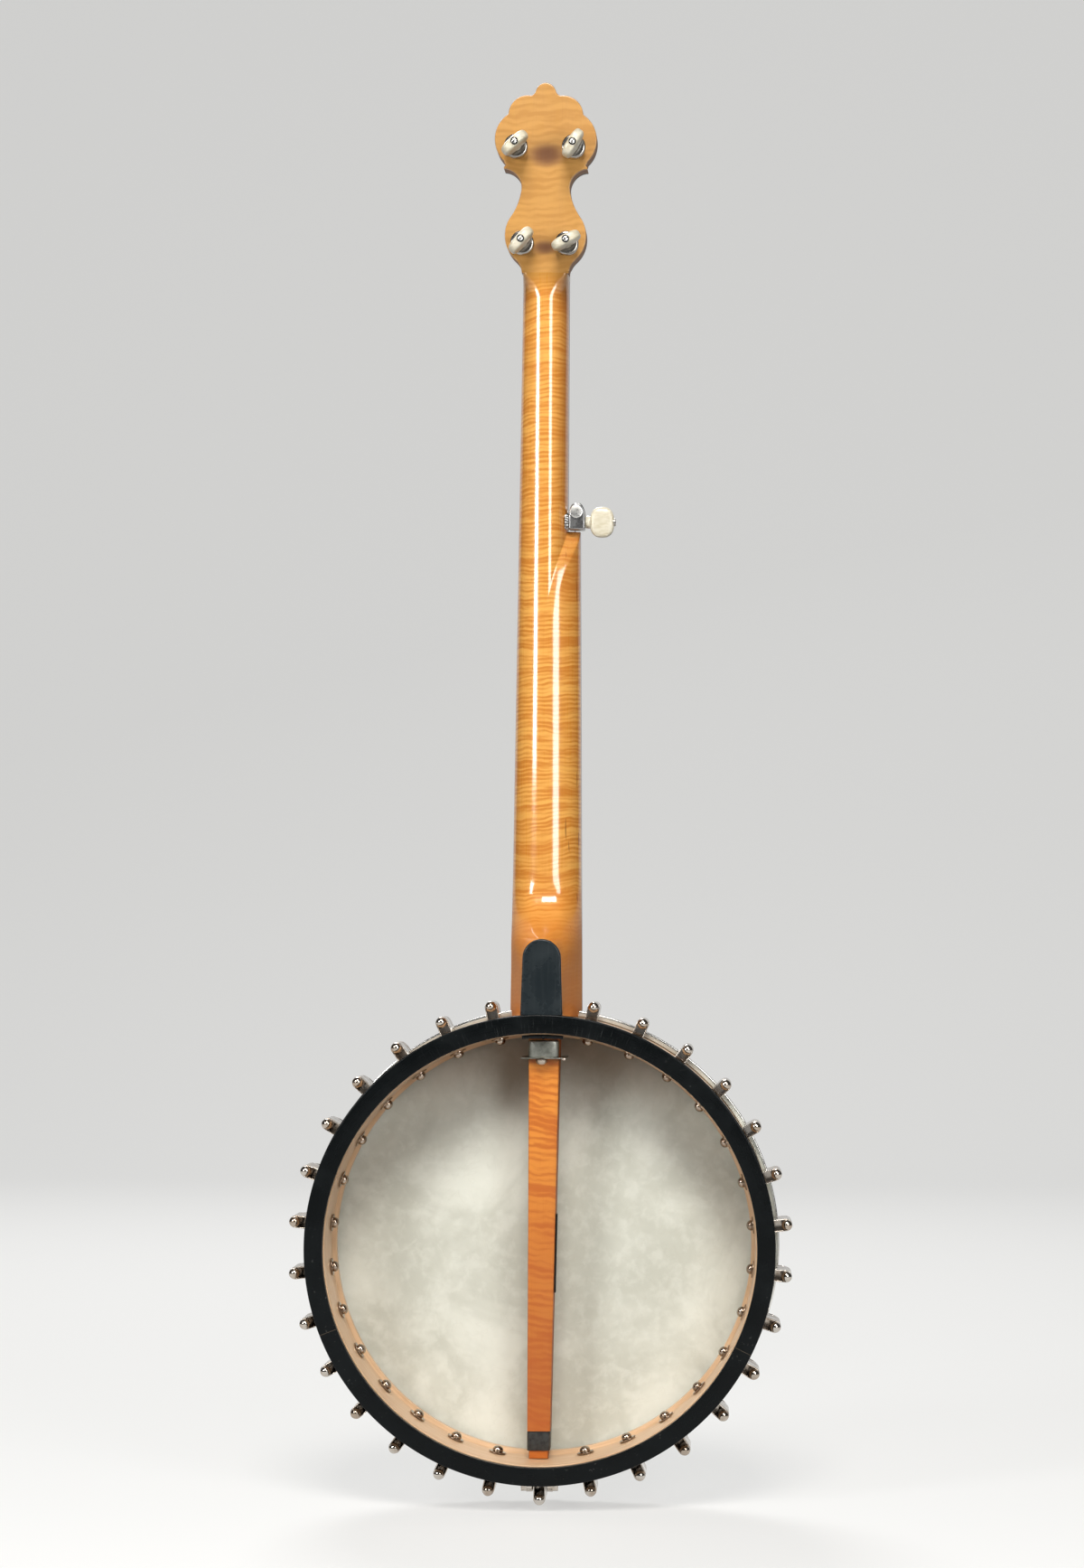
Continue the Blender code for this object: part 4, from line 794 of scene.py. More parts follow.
@shared
def head_skin(name):
    """Stretched hide: pale clouds over a grey-green cream, finer mottling, faint veins, and a
    painted brown shadow of the rim towards the neck."""
    finish = Finish(name, (0.6, 0.56, 0.45))
    slow = finish.noise(14.0, 4.0, 0.6, 0.6)
    fine = finish.noise(120.0, 3.0, 0.6, 0.3)
    veins = abs(finish.noise(36.0, 3.0, 0.6, 1.2) - 0.5)
    height = from_pot(finish)[2]
    # painted shadow of the rim: brown on the skin near the neck
    painted_rim_shadow = (height + slow * 0.03).span(0.095, 0.15)
    colour = finish.layered(
        (0.53, 0.54, 0.465), (slow.span(0.35, 0.68), (0.7, 0.715, 0.635)),
        (fine.span(0.42, 0.7) * 0.35, (0.75, 0.765, 0.69)),
        (veins.span(0.02, 0.0) * 0.07, (0.4, 0.38, 0.3)), (painted_rim_shadow * 0.55, (0.26, 0.175, 0.115)))
    return finish.done(colour, slow.span(0.3, 0.8, 0.5, 0.68), fine + slow, 0.00012, 0.35)


@shared
def ivoroid(name):
    """Cream with straight fine streaks and a yellower tone in its depths."""
    finish = Finish(name, (0.8, 0.75, 0.58), coat_roughness=0.1)
    x, y, z = finish.axes()
    streaks = finish.noise((x * 220, y * 40, z * 700), 3.0)
    cloud = finish.noise(150.0, 3.0)
    colour = finish.layered((0.62, 0.575, 0.455), (streaks.span(0.35, 0.7), (0.53, 0.475, 0.335)),
                            (cloud.span(0.45, 0.75) * 0.4, (0.64, 0.61, 0.51)))
    return finish.done(colour, cloud.span(0.3, 0.8, 0.28, 0.42), streaks, 0.00002, 0.2,
                       coat_weight=0.3 - cloud * 0.1)


@shared
def bone(name):
    finish = Finish(name, (0.82, 0.78, 0.68))
    fine = finish.noise(500.0, 3.0)
    colour = finish.layered((0.82, 0.78, 0.68), (fine.span(0.4, 0.75), (0.66, 0.6, 0.46)))
    return finish.done(colour, fine.span(0.3, 0.7, 0.38, 0.5))


# The pot


def make_rim():
    """A ring of bent maple with a lip inside its front edge."""
    back = CAP_THICKNESS + GAP
    lip = RIM_INNER - RIM_LIP
    shelf = RIM_FRONT - RIM_LIP_THICKNESS
    corners = [(RIM_INNER, back), (RIM_RADIUS, back), (RIM_RADIUS, RIM_FRONT)]
    corners += [(lip, RIM_FRONT), (lip, shelf), (RIM_INNER, shelf - RIM_LIP)]
    wood = ring(rounded(corners, 0.0005), 360).moved(IN_POT)
    wood.piece("rim_wood", rim_maple(), ["rim"], "rim_maple")


def make_cap():
    """A flat ring on the rim's back, rounder on its outer edge."""
    corners = rectangle(CAP_RADIUS - CAP_WIDTH, 0.0, CAP_RADIUS, CAP_THICKNESS)
    section = rounded(corners, [0.0007, 0.0011, 0.0004, 0.0003], 6)
    ring(section, 360).moved(IN_POT).piece("cap_ring", cap_black(), ["rim_cap"], "ebony")


def make_tone_ring():
    """A brass ring on the rim's front, its inner side sloping to a narrower top."""
    outer = RIM_RADIUS - 0.0015
    inner = outer - 0.0062
    back, front = RIM_FRONT + GAP, RIM_FRONT + GAP + TONE_RING_HEIGHT
    corners = [(inner, back), (outer, back), (outer, front), ((inner + outer) / 2, front)]
    section = rounded(corners, [0.0006, 0.0006, 0.0014, 0.0014], 6)
    ring(section).moved(IN_POT).piece("tone_hoop", metal("brass"), ["tone_ring"], "brass")


def make_head():
    """The skin over the tone ring, its skirt down the rim, and the wire that the skirt wraps."""
    inner, outer = RIM_RADIUS + GAP, SKIRT_RADIUS
    under = [(0.004, HEAD_BACK), (0.08, HEAD_BACK), (inner - 0.003, HEAD_BACK)]
    under += [(inner - 0.001, HEAD_BACK - 0.0002), (inner, HEAD_BACK - 0.0012)]
    under += [(inner, WIRE_BACK + 0.0004), (inner + 0.0003, WIRE_BACK)]
    half, turn = FLESH_WIRE / 2, 0.0016
    bead = arc_of((outer + 0.0021 - half, WIRE_BACK + half), half, -QUARTER, QUARTER, 9)
    shoulder = arc_of((outer - turn, HEAD_FRONT - turn), turn, 0, QUARTER, 6)
    over = [(outer - 0.003, HEAD_FRONT), (0.08, HEAD_FRONT), (0.004, HEAD_FRONT)]
    section = np.concatenate([under, bead, [(outer, WIRE_BACK + FLESH_WIRE + 0.0004)], shoulder, over])
    skin = lathe(section, 300).moved(IN_POT)
    skin.piece("head_skin", head_skin(), ["drum_head"], "skin", 50.0)


def make_tension_hoop():
    """A flat hoop whose front edge drops into a notch at each hook."""
    half = (HOOK_WIRE / 2 + 0.0004) / HOOP_RADIUS
    step = TAU / STATIONS
    sides = np.array([-half - 0.0004, -half, half, half + 0.0004])
    between = np.linspace(half + 0.006, step - half - 0.006, 9)
    a = (np.arange(STATIONS)[:, None] * step + np.concatenate([sides, between])[None, :]).ravel()
    from_hook = np.abs((a + step / 2) % step - step / 2)
    notched = (from_hook <= half + 1e-6) & (np.round(a / step) % STATIONS > 0)
    front = np.where(notched, HOOP_FRONT - HOOK_SEAT, HOOP_FRONT)[:, None]
    section = rounded(rectangle(HOOP_INNER, 0.0, HOOP_RADIUS, HOOP_DEPTH), 0.0006, 3)
    radius = section[None, :, 0] + 0 * front
    low = section[None, :, 1] < HOOP_DEPTH / 2
    depth = section[None, :, 1] + np.where(low, HOOP_BACK, front - HOOP_DEPTH)
    a = a[:, None]
    points = np.stack([radius * np.sin(a), depth, radius * np.cos(a)], -1)
    hoop = Skin().grid(points, rows_wrap=True, columns_wrap=True).moved(IN_POT)
    hoop.piece("hoop_metal", metal("nickel_hoop"), ["tension_hoop"], "nickel")


# The tension hooks, in a station's frame: X along the rim, Z out of it


def shoe_path(half, inner_end, centre, steps=20):
    """Up one straight side, round the outer end about the hook's centre, and down the other."""
    bend = arc_of((0, centre), half, math.pi, 0, steps)
    straight = np.linspace(inner_end, centre, 4)[:-1]
    left = np.stack([np.full(3, -half), straight], -1)
    right = np.stack([np.full(3, half), straight[::-1]], -1)
    return np.concatenate([left, bend, right])


def make_shoe(centre):
    """A thin wall carried along the shoe's outline, and the solid front part it hangs from."""
    inner_end = RIM_RADIUS + GAP
    half = SHOE_WIDTH / 2
    floor = SHOE_BACK + SHOE_CHANNEL
    path = shoe_path(half - SHOE_WALL / 2, inner_end, centre - SHOE_BEHIND)
    along = np.gradient(path, axis=0)
    along /= np.linalg.norm(along, axis=1, keepdims=True)
    side = np.stack([along[:, 1], -along[:, 0]], -1)
    wall = SHOE_WALL / 2
    section = rounded(rectangle(-wall, SHOE_BACK, wall, floor + 0.001), 0.0002, 3)
    across = path[:, None] + side[:, None] * section[None, :, :1]
    depth = np.broadcast_to(section[None, :, 1], across.shape[:2])
    band = Skin().tube(np.stack([across[..., 0], depth, across[..., 1]], -1))
    outline = shoe_path(half, inner_end, centre - SHOE_BEHIND)
    return band.join(slab(outline, floor, SHOE_BACK + SHOE_LENGTH, 0.0005))


def make_hook(centre):
    """The hook's wire from inside its nut, over the shoe, into the hoop's notch."""
    arm = HOOP_FRONT - HOOK_SEAT + GAP + HOOK_WIRE / 2
    corners = [(0, NUT_TIP + NUT_LENGTH - 0.002, centre), (0, arm, centre), (0, arm, HOOP_INNER)]
    path = eased_path(corners, 14, 0.8 * HOOK_WIRE)
    path = np.concatenate([path, path[-1:] - [0, 0, 0.0003]])
    radius = np.append(np.full(len(path) - 1, HOOK_WIRE / 2), HOOK_WIRE / 2 - 0.0004)
    return Skin().tube(swept(path, radius, 20))


def make_hook_nut(centre):
    """A round nut with a domed end, a fine step where the dome meets its barrel."""
    barrel = profile(NUT_TIP, (3.5, 4.3), (3.2, 4.6), (3.2, 5.1), (3.5, 5.4), (3.5, 14.6), (3.1, 15))
    section = np.concatenate([dome(NUT_RADIUS, NUT_TIP, 0.0032, 14, 0.06), barrel])
    return lathe(section, 36).moved(moved(0, 0, centre))


def make_shoe_bolt():
    """The bolt's domed head and its washer on the rim's inner wall."""
    seat = RIM_INNER - 2 * GAP
    washer = profile(seat, (2, 0), (5.5, 0), (5.7, -0.2), (5.7, -0.7), (5.5, -0.9), (2, -0.9))
    a = np.linspace(0, QUARTER - 0.08, 12)
    round_end = np.stack([BOLT_HEAD * np.cos(a), seat - 0.0018 - 0.0029 * np.sin(a)], -1)
    head = np.concatenate([profile(seat, (3.3, -0.9)), round_end])
    upright = moved(0, BOLT_DEPTH, 0) @ turned_about("X", QUARTER)
    return lathe(washer, 40).join(lathe(head, 36)).moved(upright)


def make_brackets():
    finish = metal("nickel")
    plain = make_shoe(HOOK_CIRCLE).join(make_hook(HOOK_CIRCLE), make_hook_nut(HOOK_CIRCLE))
    far = HOOK_CIRCLE + TAIL_STEP
    tail = make_shoe(far).join(make_hook(far), make_hook_nut(far))
    turns = {n: IN_POT @ turned_about("Y", n * TAU / STATIONS) for n in range(1, STATIONS)}
    for station, turn in turns.items():
        source = tail if station == TAIL_STATION else plain
        skin = source.copied([turn])
        skin.piece(f"hook_and_shoe_{station:02d}", finish, [f"bracket_{station:02d}"], "nickel")
    del turns[TAIL_STATION]
    bolts = make_shoe_bolt().copied(turns.values())
    bolts.piece("shoe_bolts", metal("bolt_metal"), [f"bracket_{n:02d}" for n in turns], "nickel")


# The dowel stick and its metal


def dowel_taper(height):
    """Where the stick's right side and its back are at a height; its left side is straight."""
    share = (RIM_INNER - height) / (2 * RIM_INNER)
    return mix(*DOWEL_RIGHT, share), mix(*DOWEL_BACK, share)


def dowel_rows(heights, grow):
    """The stick's outlines at these heights, each grown outwards, as rows of points."""
    rows = []
    for height, more in zip(heights, grow):
        right, back = dowel_taper(height)
        corners = rectangle(DOWEL_LEFT - more, back - more, right + more, DOWEL_FRONT + more)
        rows.append(np.insert(rounded(corners, 0.0012), 2, height, axis=1))
    return np.stack(rows)


def make_dowel():
    """The stick from the neck's heel to the tail, thinner where the ferrule goes round it."""
    under = -0.0008 - GAP
    neck_end = RIM_RADIUS + 0.013
    tail = -(RIM_INNER - 2 * GAP)
    ledge = -FERRULE_START + GAP
    heights = np.concatenate([np.linspace(neck_end, ledge, 60), [ledge, tail]])
    grow = np.concatenate([np.zeros(60), [under, under]])
    stick = Skin().tube(dowel_rows(heights, grow)).moved(IN_POT)
    stick.piece("dowel_wood", dowel_maple(), ["dowel_stick"], "dowel_maple", 50.0)


def make_side_plate():
    """A bare dark plate on the stick's right side."""
    ends = 0.0215, -0.03
    corners = [np.add(dowel_taper(height), (GAP, 0.0022)) for height in ends]
    plate = carried([rectangle(x, y, x + 0.0009, y + 0.006) for x, y in corners], ends)
    plate.moved(IN_POT).piece("side_plate", dark_lacquer())


def make_ferrule():
    """A metal band round the stick's foot: its wall's section carried round the outline."""
    top, bottom = -FERRULE_START, -FERRULE_START - FERRULE_LENGTH
    lip = 0.0003
    heights = np.array([top, top - lip, bottom + lip, bottom, bottom, top])
    grow = np.array([-lip, 0.0, 0.0, -lip, -0.0008, -0.0008])
    band = Skin().grid(dowel_rows(heights, grow), rows_wrap=True, columns_wrap=True)
    band.moved(IN_POT).piece("ferrule_band", metal("dark_pewter"), ["dowel_ferrule"], "pewter")


def make_saddle():
    """The arch over the stick's back: half an ellipse across, its ends rounded over."""
    end = SADDLE_START + SADDLE_LENGTH
    ease = 0.0009
    t = np.linspace(0, QUARTER, 5)
    rise, shrink = ease * (1 - np.cos(t)), ease * (1 - np.sin(t))
    a = np.linspace(0, math.pi, 24)
    rows = []
    heights = np.concatenate([SADDLE_START + rise, end - rise[::-1]])
    for height, inset in zip(heights, np.concatenate([shrink, shrink[::-1]])):
        right, back = dowel_taper(height)
        seat = back - GAP
        x = (DOWEL_LEFT + right) / 2 - ((right - DOWEL_LEFT) / 2 - inset) * np.cos(a)
        y = seat - 0.55 * SADDLE_HEIGHT - (0.45 * SADDLE_HEIGHT - inset) * np.sin(a)
        x, y = np.pad(x, 1, "edge"), np.pad(y, 1, constant_values=seat)
        rows.append(np.stack([x, y, np.full(len(x), height)], -1))
    return Skin().tube(np.stack(rows))


def make_flange():
    """A plate bent to the rim's inner wall behind the stick: a section carried along the bend."""
    back = DOWEL_BACK[0]
    angle = math.asin(0.0135 / RIM_INNER)
    a = np.linspace(-angle, angle, 24)[:, None]
    section = rounded(rectangle(0, back - 0.0062, 0.0022, back - 0.0006), 0.0006)
    r = RIM_INNER - 2 * GAP - section[:, 0]
    plate = Skin().tube(np.stack([r * np.sin(a), section[:, 1] + 0 * a, r * np.cos(a)], -1))
    pip = lathe(profile(0, (0.4, -1.6), (1.2, -1.4), (1.6, -0.6), (1.7, 0)), 20)
    return plate.join(pip.moved(moved(0.0006, back - 0.006, RIM_INNER - 0.0016)))


def make_brace_screw(centre, height, depth):
    """A domed screw under the plate whose slot is a groove pressed into the dome."""
    radius = 0.00385
    points = spun([*dome(radius, 0, 0.0038, 20), (radius, 0.0043)], 60)
    groove = np.exp(-((points[..., 2] / 0.00055) ** 4)) * 0.0011
    points[..., 1] = np.maximum(points[..., 1], np.where(points[..., 1] < 0.003, groove, 0))
    return Skin().tube(points).moved(moved(centre, depth, height) @ turned_about("X", QUARTER))


def make_brace():
    """The saddle, the flange on the rim, the plate that bears on the stick, and its screw."""
    start = SADDLE_START
    back = DOWEL_BACK[0]
    seat = back - 0.0004
    side = dowel_taper(start)[0]
    centre = (DOWEL_LEFT + side) / 2
    left, right = centre - 0.01485, centre + 0.01485
    low, high = start - 0.0008, start + 0.0003
    wings = block((left, back - 0.0055, low), (right, seat, high), 0.0006, "Z")
    nub = (right - 0.0026, seat - 0.0066, start - 0.0016), (right - 0.0002, seat, start)
    walls = []
    for first, last in ((left, DOWEL_LEFT - GAP), (side + GAP, right)):
        walls.append(block((first, seat - 0.0005, low), (last, DOWEL_FRONT + 0.003, high), 0.0006, "Z"))
    screw = make_brace_screw(centre - 0.0012, start - 0.0053, back - GAP - 0.0042)
    brace = make_saddle().join(wings, *walls)
    brace.moved(IN_POT).piece("brace_metal", metal("pewter"), ["neck_brace"], "pewter")
    # the flange takes the heel's black as painted shade, for it lies in the shadow behind the stick
    make_flange().moved(IN_POT).piece("brace_flange", heel_black(), ["neck_brace"], "pewter")
    screw = screw.join(block(*nub, 0.0005, "Z")).moved(IN_POT)
    screw.piece("brace_screw", metal("nickel"), ["neck_brace"], "pewter")


# The neck


def neck_left(distance):
    return mix(*NECK_LEFT, np.minimum(distance, NUT_AT) / NUT_AT)


def neck_right(distance):
    return np.where(distance > STEP_AT, NECK_NARROW, mix(*NECK_RIGHT, distance / STEP_AT))


def shoulder_right(distance, turn):
    """The right side's reach: below the step a crease runs from the wide neck's edge to its
    spine, falling short of it by e per shoulder's length, and the wide form lies outside it."""
    crease = QUARTER * (1 - np.exp(-np.maximum(0.0, STEP_AT - distance) / SHOULDER))
    bank = np.clip((crease - turn) / CREASE + 1, 0, 1)
    reach = mix(NECK_NARROW, neck_right(distance), 1 - (1 - bank) ** 2)
    return np.where(distance > STEP_AT, NECK_NARROW, reach)


def into_board(distance):
    """How far the neck has turned into the peghead's board, from 0 below the nut to 1."""
    return smooth((distance - NUT_AT + BOARD_BLEND) / (BOARD_BLEND + BOARD_START))


def neck_thickness(distance):
    sweep_end = HEEL_END + HEEL_SWEEP
    plain = mix(*THICKNESS, np.clip((distance - sweep_end) / (NUT_AT - sweep_end), 0, 1))
    rest = np.clip(1 - (distance - HEEL_END) / HEEL_SWEEP, 0, 1)
    plain = plain + (HEEL_DEPTH - plain) * rest**2.6
    board = PEGHEAD_DROP + PEGHEAD_THICKNESS - NECK_TOP - BOARD_SINK
    board = board + (distance - NUT_AT) * math.tan(PEGHEAD_TILT)
    return mix(plain, board, into_board(distance))


def heel_half_width(distance, inset=0.0):
    """Half the heel's width on its cap: a slight taper, then a round end."""
    tip = HEEL_HALF[1] - inset
    round_start = HEEL_END - HEEL_HALF[1]
    taper = mix(HEEL_HALF[0] - inset, tip, np.clip(distance / round_start, 0, 1))
    rest = np.maximum(0.0, tip**2 - np.maximum(0.0, distance - round_start) ** 2)
    return np.where(distance <= round_start, taper, np.sqrt(rest))


def on_pot(points, matrix):
    """Where points that lead towards the pot meet its side: the cap's, the rim's or the hoop's."""
    flat = placed(points, matrix) - POT
    radius = np.where(flat[..., 1] < CAP_THICKNESS + GAP, CAP_RADIUS, RIM_RADIUS)
    radius = np.where(flat[..., 1] > WIRE_BACK - GAP, HOOP_RADIUS, radius) + GAP
    flat[..., 2] = np.sqrt(radius**2 - flat[..., 0] ** 2)
    return placed(flat + POT, np.linalg.inv(matrix))


def met_with_pot(points, count):
    """The first rows are drawn out so that the very first lies on the pot's side."""
    first, last = on_pot(points[:1], IN_NECK), points[count : count + 1]
    share = (points[:count, :, 2:] - points[:1, :, 2:]) / (last[..., 2:] - points[:1, :, 2:])
    height = mix(first[..., 2:], last[..., 2:], share)
    return np.concatenate([np.concatenate([points[:count, :, :2], height], -1), points[count:]])


def neck_surface(distance, turn, side):
    """A point of the neck's back for a distance up it and a turn from its edge to its spine:
    the depth follows the turn's sine, and the width falls off with a power of it, round on the
    neck, hollow on the heel and squarer as it meets the peghead."""
    heel = smooth(1 - (distance - 0.5 * HEEL_END) / (0.5 * HEEL_END + 0.3 * HEEL_SWEEP)) ** 2
    power = mix(mix(0.5, 0.04, into_board(distance)), 1.4, heel)
    curve = mix(2.0, 1.4, heel)
    down = np.sin(turn)
    flank = np.maximum(0.0, 1 - down**curve) ** power
    spine = mix(0.0, PEGHEAD_AT, distance / NUT_AT)
    fade = smooth((HEEL_END + 0.012 - distance) / 0.034)
    half = mix(HEEL_HALF[0] * fade, np.maximum(0.0003, heel_half_width(distance)), down**20)
    edge = neck_left(distance) if side < 0 else shoulder_right(distance, turn)
    reach = 0.012 * (1 - down**20) * smooth((0.13 - distance) / 0.04)
    thick = sum(neck_thickness(distance + reach * tap) for tap in np.linspace(-1, 1, 41)) / 41
    y = NECK_TOP - (thick + NECK_TOP) * down
    return np.stack(np.broadcast_arrays(mix(spine + side * half, edge, flank), y, distance), -1)


def make_neck_wood():
    """The neck's back from the pot to inside the peghead, its rows closest at the shoulder."""
    sweep_end = HEEL_END + HEEL_SWEEP
    runs = ((0.0, HEEL_END - HEEL_HALF[1], 14), (HEEL_END + 0.0008, sweep_end, 26),
            (sweep_end + 0.002, STEP_AT - 0.0605, 130), (STEP_AT - 0.06, STEP_AT - 0.0005, 120),
            (STEP_AT - STEP_HALF, STEP_AT + STEP_HALF, 2), (STEP_AT + 0.0012, NUT_AT - 0.015, 60),
            (NUT_AT - 0.0145, NUT_AT + 0.0056, 26))
    tip = HEEL_END - HEEL_HALF[1] * (1 - np.sin(np.linspace(0.1, QUARTER, 14)))
    distance = np.sort(np.concatenate([tip] + [np.linspace(*run) for run in runs]))[:, None]
    turn = np.linspace(0, QUARTER, 72)[None, :]
    left = neck_surface(distance, turn, -1)
    right = neck_surface(distance, turn, 1)[:, ::-1]
    points = met_with_pot(np.concatenate([left, right], axis=1), 12)
    wood = Skin().tube(points).moved(IN_NECK)
    wood.piece("neck_wood", neck_maple(), ["neck"], "neck_maple", 32.0)


def arc(start, end, bulge, steps):
    """Points of the round stretch from start to end that bulges to the right of its way."""
    start, end = np.array(start), np.array(end)
    chord = np.linalg.norm(end - start)
    if not bulge:
        return end[None]
    along = (end - start) / chord
    right = np.array([along[1], -along[0]])
    half_angle = 2 * math.atan(2 * bulge / chord)
    radius = chord / (2 * math.sin(half_angle))
    angle = half_angle * (2 * np.arange(1, steps + 1)[:, None] / steps - 1)
    off = radius * (np.cos(angle) - math.cos(half_angle))
    return (start + end) / 2 + along * radius * np.sin(angle) + right * off


def peghead_outline(start=0.003):
    """The right side from the nut to the tip in (x, height) arcs, and the left as its mirror."""
    stretches = [
        ((0.02, 0.012), -0.001, 8),
        ((0.0225, 0.0395), 0.0053, 16),
        ((0.0161, 0.055), -0.0009, 8),
        (EAR, -0.0044, 14),
        ((0.026, 0.0726), 0.0003, 4),
        ((0.0272, 0.075), 0.0003, 4),
        ((0.0244, 0.1052), 0.0074, 22),
        ((0.0094, 0.1172), 0.0043, 14),
        ((0.0064, 0.1206), -0.0006, 4),
        ((0.0000, 0.1255), 0.0012, 8),
    ]
    right = [np.array([[0.0154, 0.003]])]
    for end, bulge, steps in stretches:
        right.append(arc(right[-1][-1], end, bulge, steps))
    right = np.concatenate(right)
    if start > right[0, 1]:
        first = np.argmax(right[:, 1] > start)
        share = (start - right[first - 1, 1]) / (right[first, 1] - right[first - 1, 1])
        right = np.concatenate([mix(right[first - 1], right[first], share)[None], right[first:]])
    return np.concatenate([right, right[-2::-1] * [-1, 1]])


def peghead_edge(outline, edge):
    """How far the board's edge is eased: less towards the pointed ears, which stay crisp."""
    from_ear = np.hypot(np.abs(outline[:, 0]) - EAR[0], outline[:, 1] - EAR[1])
    return edge * np.clip(from_ear / 0.0022, 0.08, 1.0)


def make_peghead():
    """The board, its outline drawn from arcs."""
    outline = peghead_outline()
    board = slab(outline, -PEGHEAD_THICKNESS, 0.0, peghead_edge(outline, 0.0007)).moved(IN_PEGHEAD)
    board.piece("peghead_wood", peghead_maple(), ["neck"], "neck_maple", 30.0)


def make_overlay():
    """The dark veneer on the board's front, which starts above the nut."""
    outline = peghead_outline(0.0068)
    shape = slab(outline, GAP, GAP + OVERLAY, peghead_edge(outline, 0.0003)).moved(IN_PEGHEAD)
    shape.piece("overlay_board", ebony(), ["peghead_overlay"], "ebony", 30.0)


def heel_outline(inset):
    """The tongue's outline on the heel, drawn in by inset."""
    centre = HEEL_END - HEEL_HALF[1]
    straight = np.linspace(0.0, centre, 10)
    side = np.stack([heel_half_width(straight, inset), straight], -1)
    end = arc_of((0, centre), HEEL_HALF[1] - inset, 0, QUARTER, 24)[1:]
    right = np.concatenate([side, end])
    return np.concatenate([right, right[-2::-1] * [-1, 1]])


def make_heel_cap():
    """The dark tongue on the heel, its edge rounded over, its foot carried to the pot's side."""
    front = -HEEL_DEPTH - GAP
    back = front - 0.0022
    t = np.linspace(0, QUARTER, 7)
    depths = np.array([front, *(back + 0.0012 * (1 - np.sin(t))), back])
    insets = [0.0, *(0.0012 * (1 - np.cos(t))), 0.0016]
    points = carried([heel_outline(inset) for inset in insets], depths, 1).points[0]
    points = points.reshape(len(depths), -1, 3)
    low = on_pot(points, IN_NECK)[..., 2]
    share = np.clip(points[..., 2] / 0.012, 0, 1)
    points[..., 2] = np.where(share < 1, mix(low, 0.012, share), points[..., 2])
    cap = Skin().tube(points).moved(IN_NECK)
    cap.piece("heel_tongue", heel_black(), ["heel_cap"], "ebony", 30.0)


def make_fingerboard():
    """The board, drawn out to the hoop at its foot, and its frets, each a half round bar."""
    rows = []
    for z in [*np.linspace(0, STEP_AT - STEP_HALF, 40), *np.linspace(STEP_AT + STEP_HALF, NUT_AT, 20)]:
        corners = rectangle(neck_left(z), -BOARD_THICKNESS, float(neck_right(z)), 0.0)
        rows.append(np.insert(rounded(corners, 0.0004, 3), 2, z, axis=1))
    board = Skin().tube(met_with_pot(np.stack(rows), 2)).moved(IN_NECK)
    board.piece("fingerboard_wood", ebony(), ["fingerboard"], "ebony", 30.0)
    frets = Skin()
    a = np.linspace(0, math.pi, 9)
    size = 0.001 * np.array([0.75, 1.0, 1.0, 0.75])[:, None]
    for number in range(1, FRETS + 1):
        z = NUT_AT - SCALE_LENGTH * (1 - 2 ** (-number / 12))
        left, right = neck_left(z), float(neck_right(z))
        x = np.array([left + 0.0001, left + 0.0006, right - 0.0006, right - 0.0001])[:, None]
        rows = np.broadcast_arrays(x, size * np.sin(a), z + size * np.cos(a))
        frets.join(Skin().tube(np.stack(rows, -1)))
    frets.moved(IN_NECK).piece("fret_wires", metal("nickel"), ["fingerboard"], "nickel")


def make_nut():
    """A bone bar whose top dips under each string."""
    x = np.linspace(NECK_LEFT[1], NECK_NARROW, 120)
    rise = np.full(len(x), NUT_RISE)
    for i in range(4):
        rise -= 0.0006 * np.exp(-(((x - PEGHEAD_AT - (i - 1.5) * STRING_SPACING) / 0.0005) ** 4))
    low, back = NECK_TOP + GAP, NUT_AT + GAP
    sections = [rounded(rectangle(low, back, top, back + 0.0048), 0.0005, 3) for top in rise]
    carried(sections, x, 0).moved(IN_NECK).piece("nut_bar", bone(), ["string_nut"], "bone")


def make_pip():
    """The bone pin that the fifth string rests on, ahead of its peg."""
    pin = lathe(profile(0, (1, -2), (1, 0.6), (0.9, 0.9), (0.6, 1.2), (0.2, 1)), 24)
    pin = pin.moved(IN_NECK @ moved(PIP[0], 0, PIP[1]))
    pin.piece("pip_pin", bone(), ["fifth_string_pip"], "bone")


# The pegs


def peg_places():
    """The four pegs as (name, x, height)."""
    rows = (("upper", 0.0187, 0.0824), ("lower", 0.0145, 0.0205))
    sides = (("left", -1), ("right", 1))
    return [(f"{row}_{side}", sign * x, z) for row, x, z in rows for side, sign in sides]


def button_skin(start, length=0.001, radius=0.0036):
    """The button along +Y from start: a collar, then rows that are rounded rectangles, their
    width an ellipse along the way out and their thickness nearly even until the tip."""
    end = start + length
    wide = radius / MM
    collar = profile(start, (1, 0), (wide - 0.3, 0), (wide, 0.4))
    collar += profile(end, (wide, 0), (wide - 0.4, 0.4), (1, 0.4))
    t = np.linspace(-QUARTER + 0.25, QUARTER - 0.02, 30)
    share = (1 + np.sin(t[:, None])) / 2
    middle = np.abs(2 * share - 1)
    wide = BUTTON_SIZE[0] / 2 * (1 - middle**2.6) ** (1 / 2.6)
    thick = BUTTON_SIZE[2] / 2 * (1 - middle**5) ** (1 / 3)
    depth = end - 0.0002 + (BUTTON_SIZE[1] + 0.0004) * share
    a = np.linspace(0, TAU, 56, endpoint=False)
    x, z = (np.sign(part) * np.abs(part) ** 0.56 for part in (np.cos(a), np.sin(a)))
    rows = np.stack(np.broadcast_arrays(wide * x, depth, thick * z), -1)
    return lathe(collar, 40).join(Skin().tube(rows))


def screw_skin(start):
    """A small slotted screw sunk in the button's tip, in a ring of shadow."""
    radius = 0.0016
    points = spun([*dome(radius, start + 0.0001, -0.0003, 10), (radius, start - 0.0016)], 48)
    slot = np.exp(-((points[..., 2] / 0.00024) ** 4)) * 0.0007
    points[..., 1] -= slot * (points[..., 1] > start - 0.001)
    return Skin().tube(points)


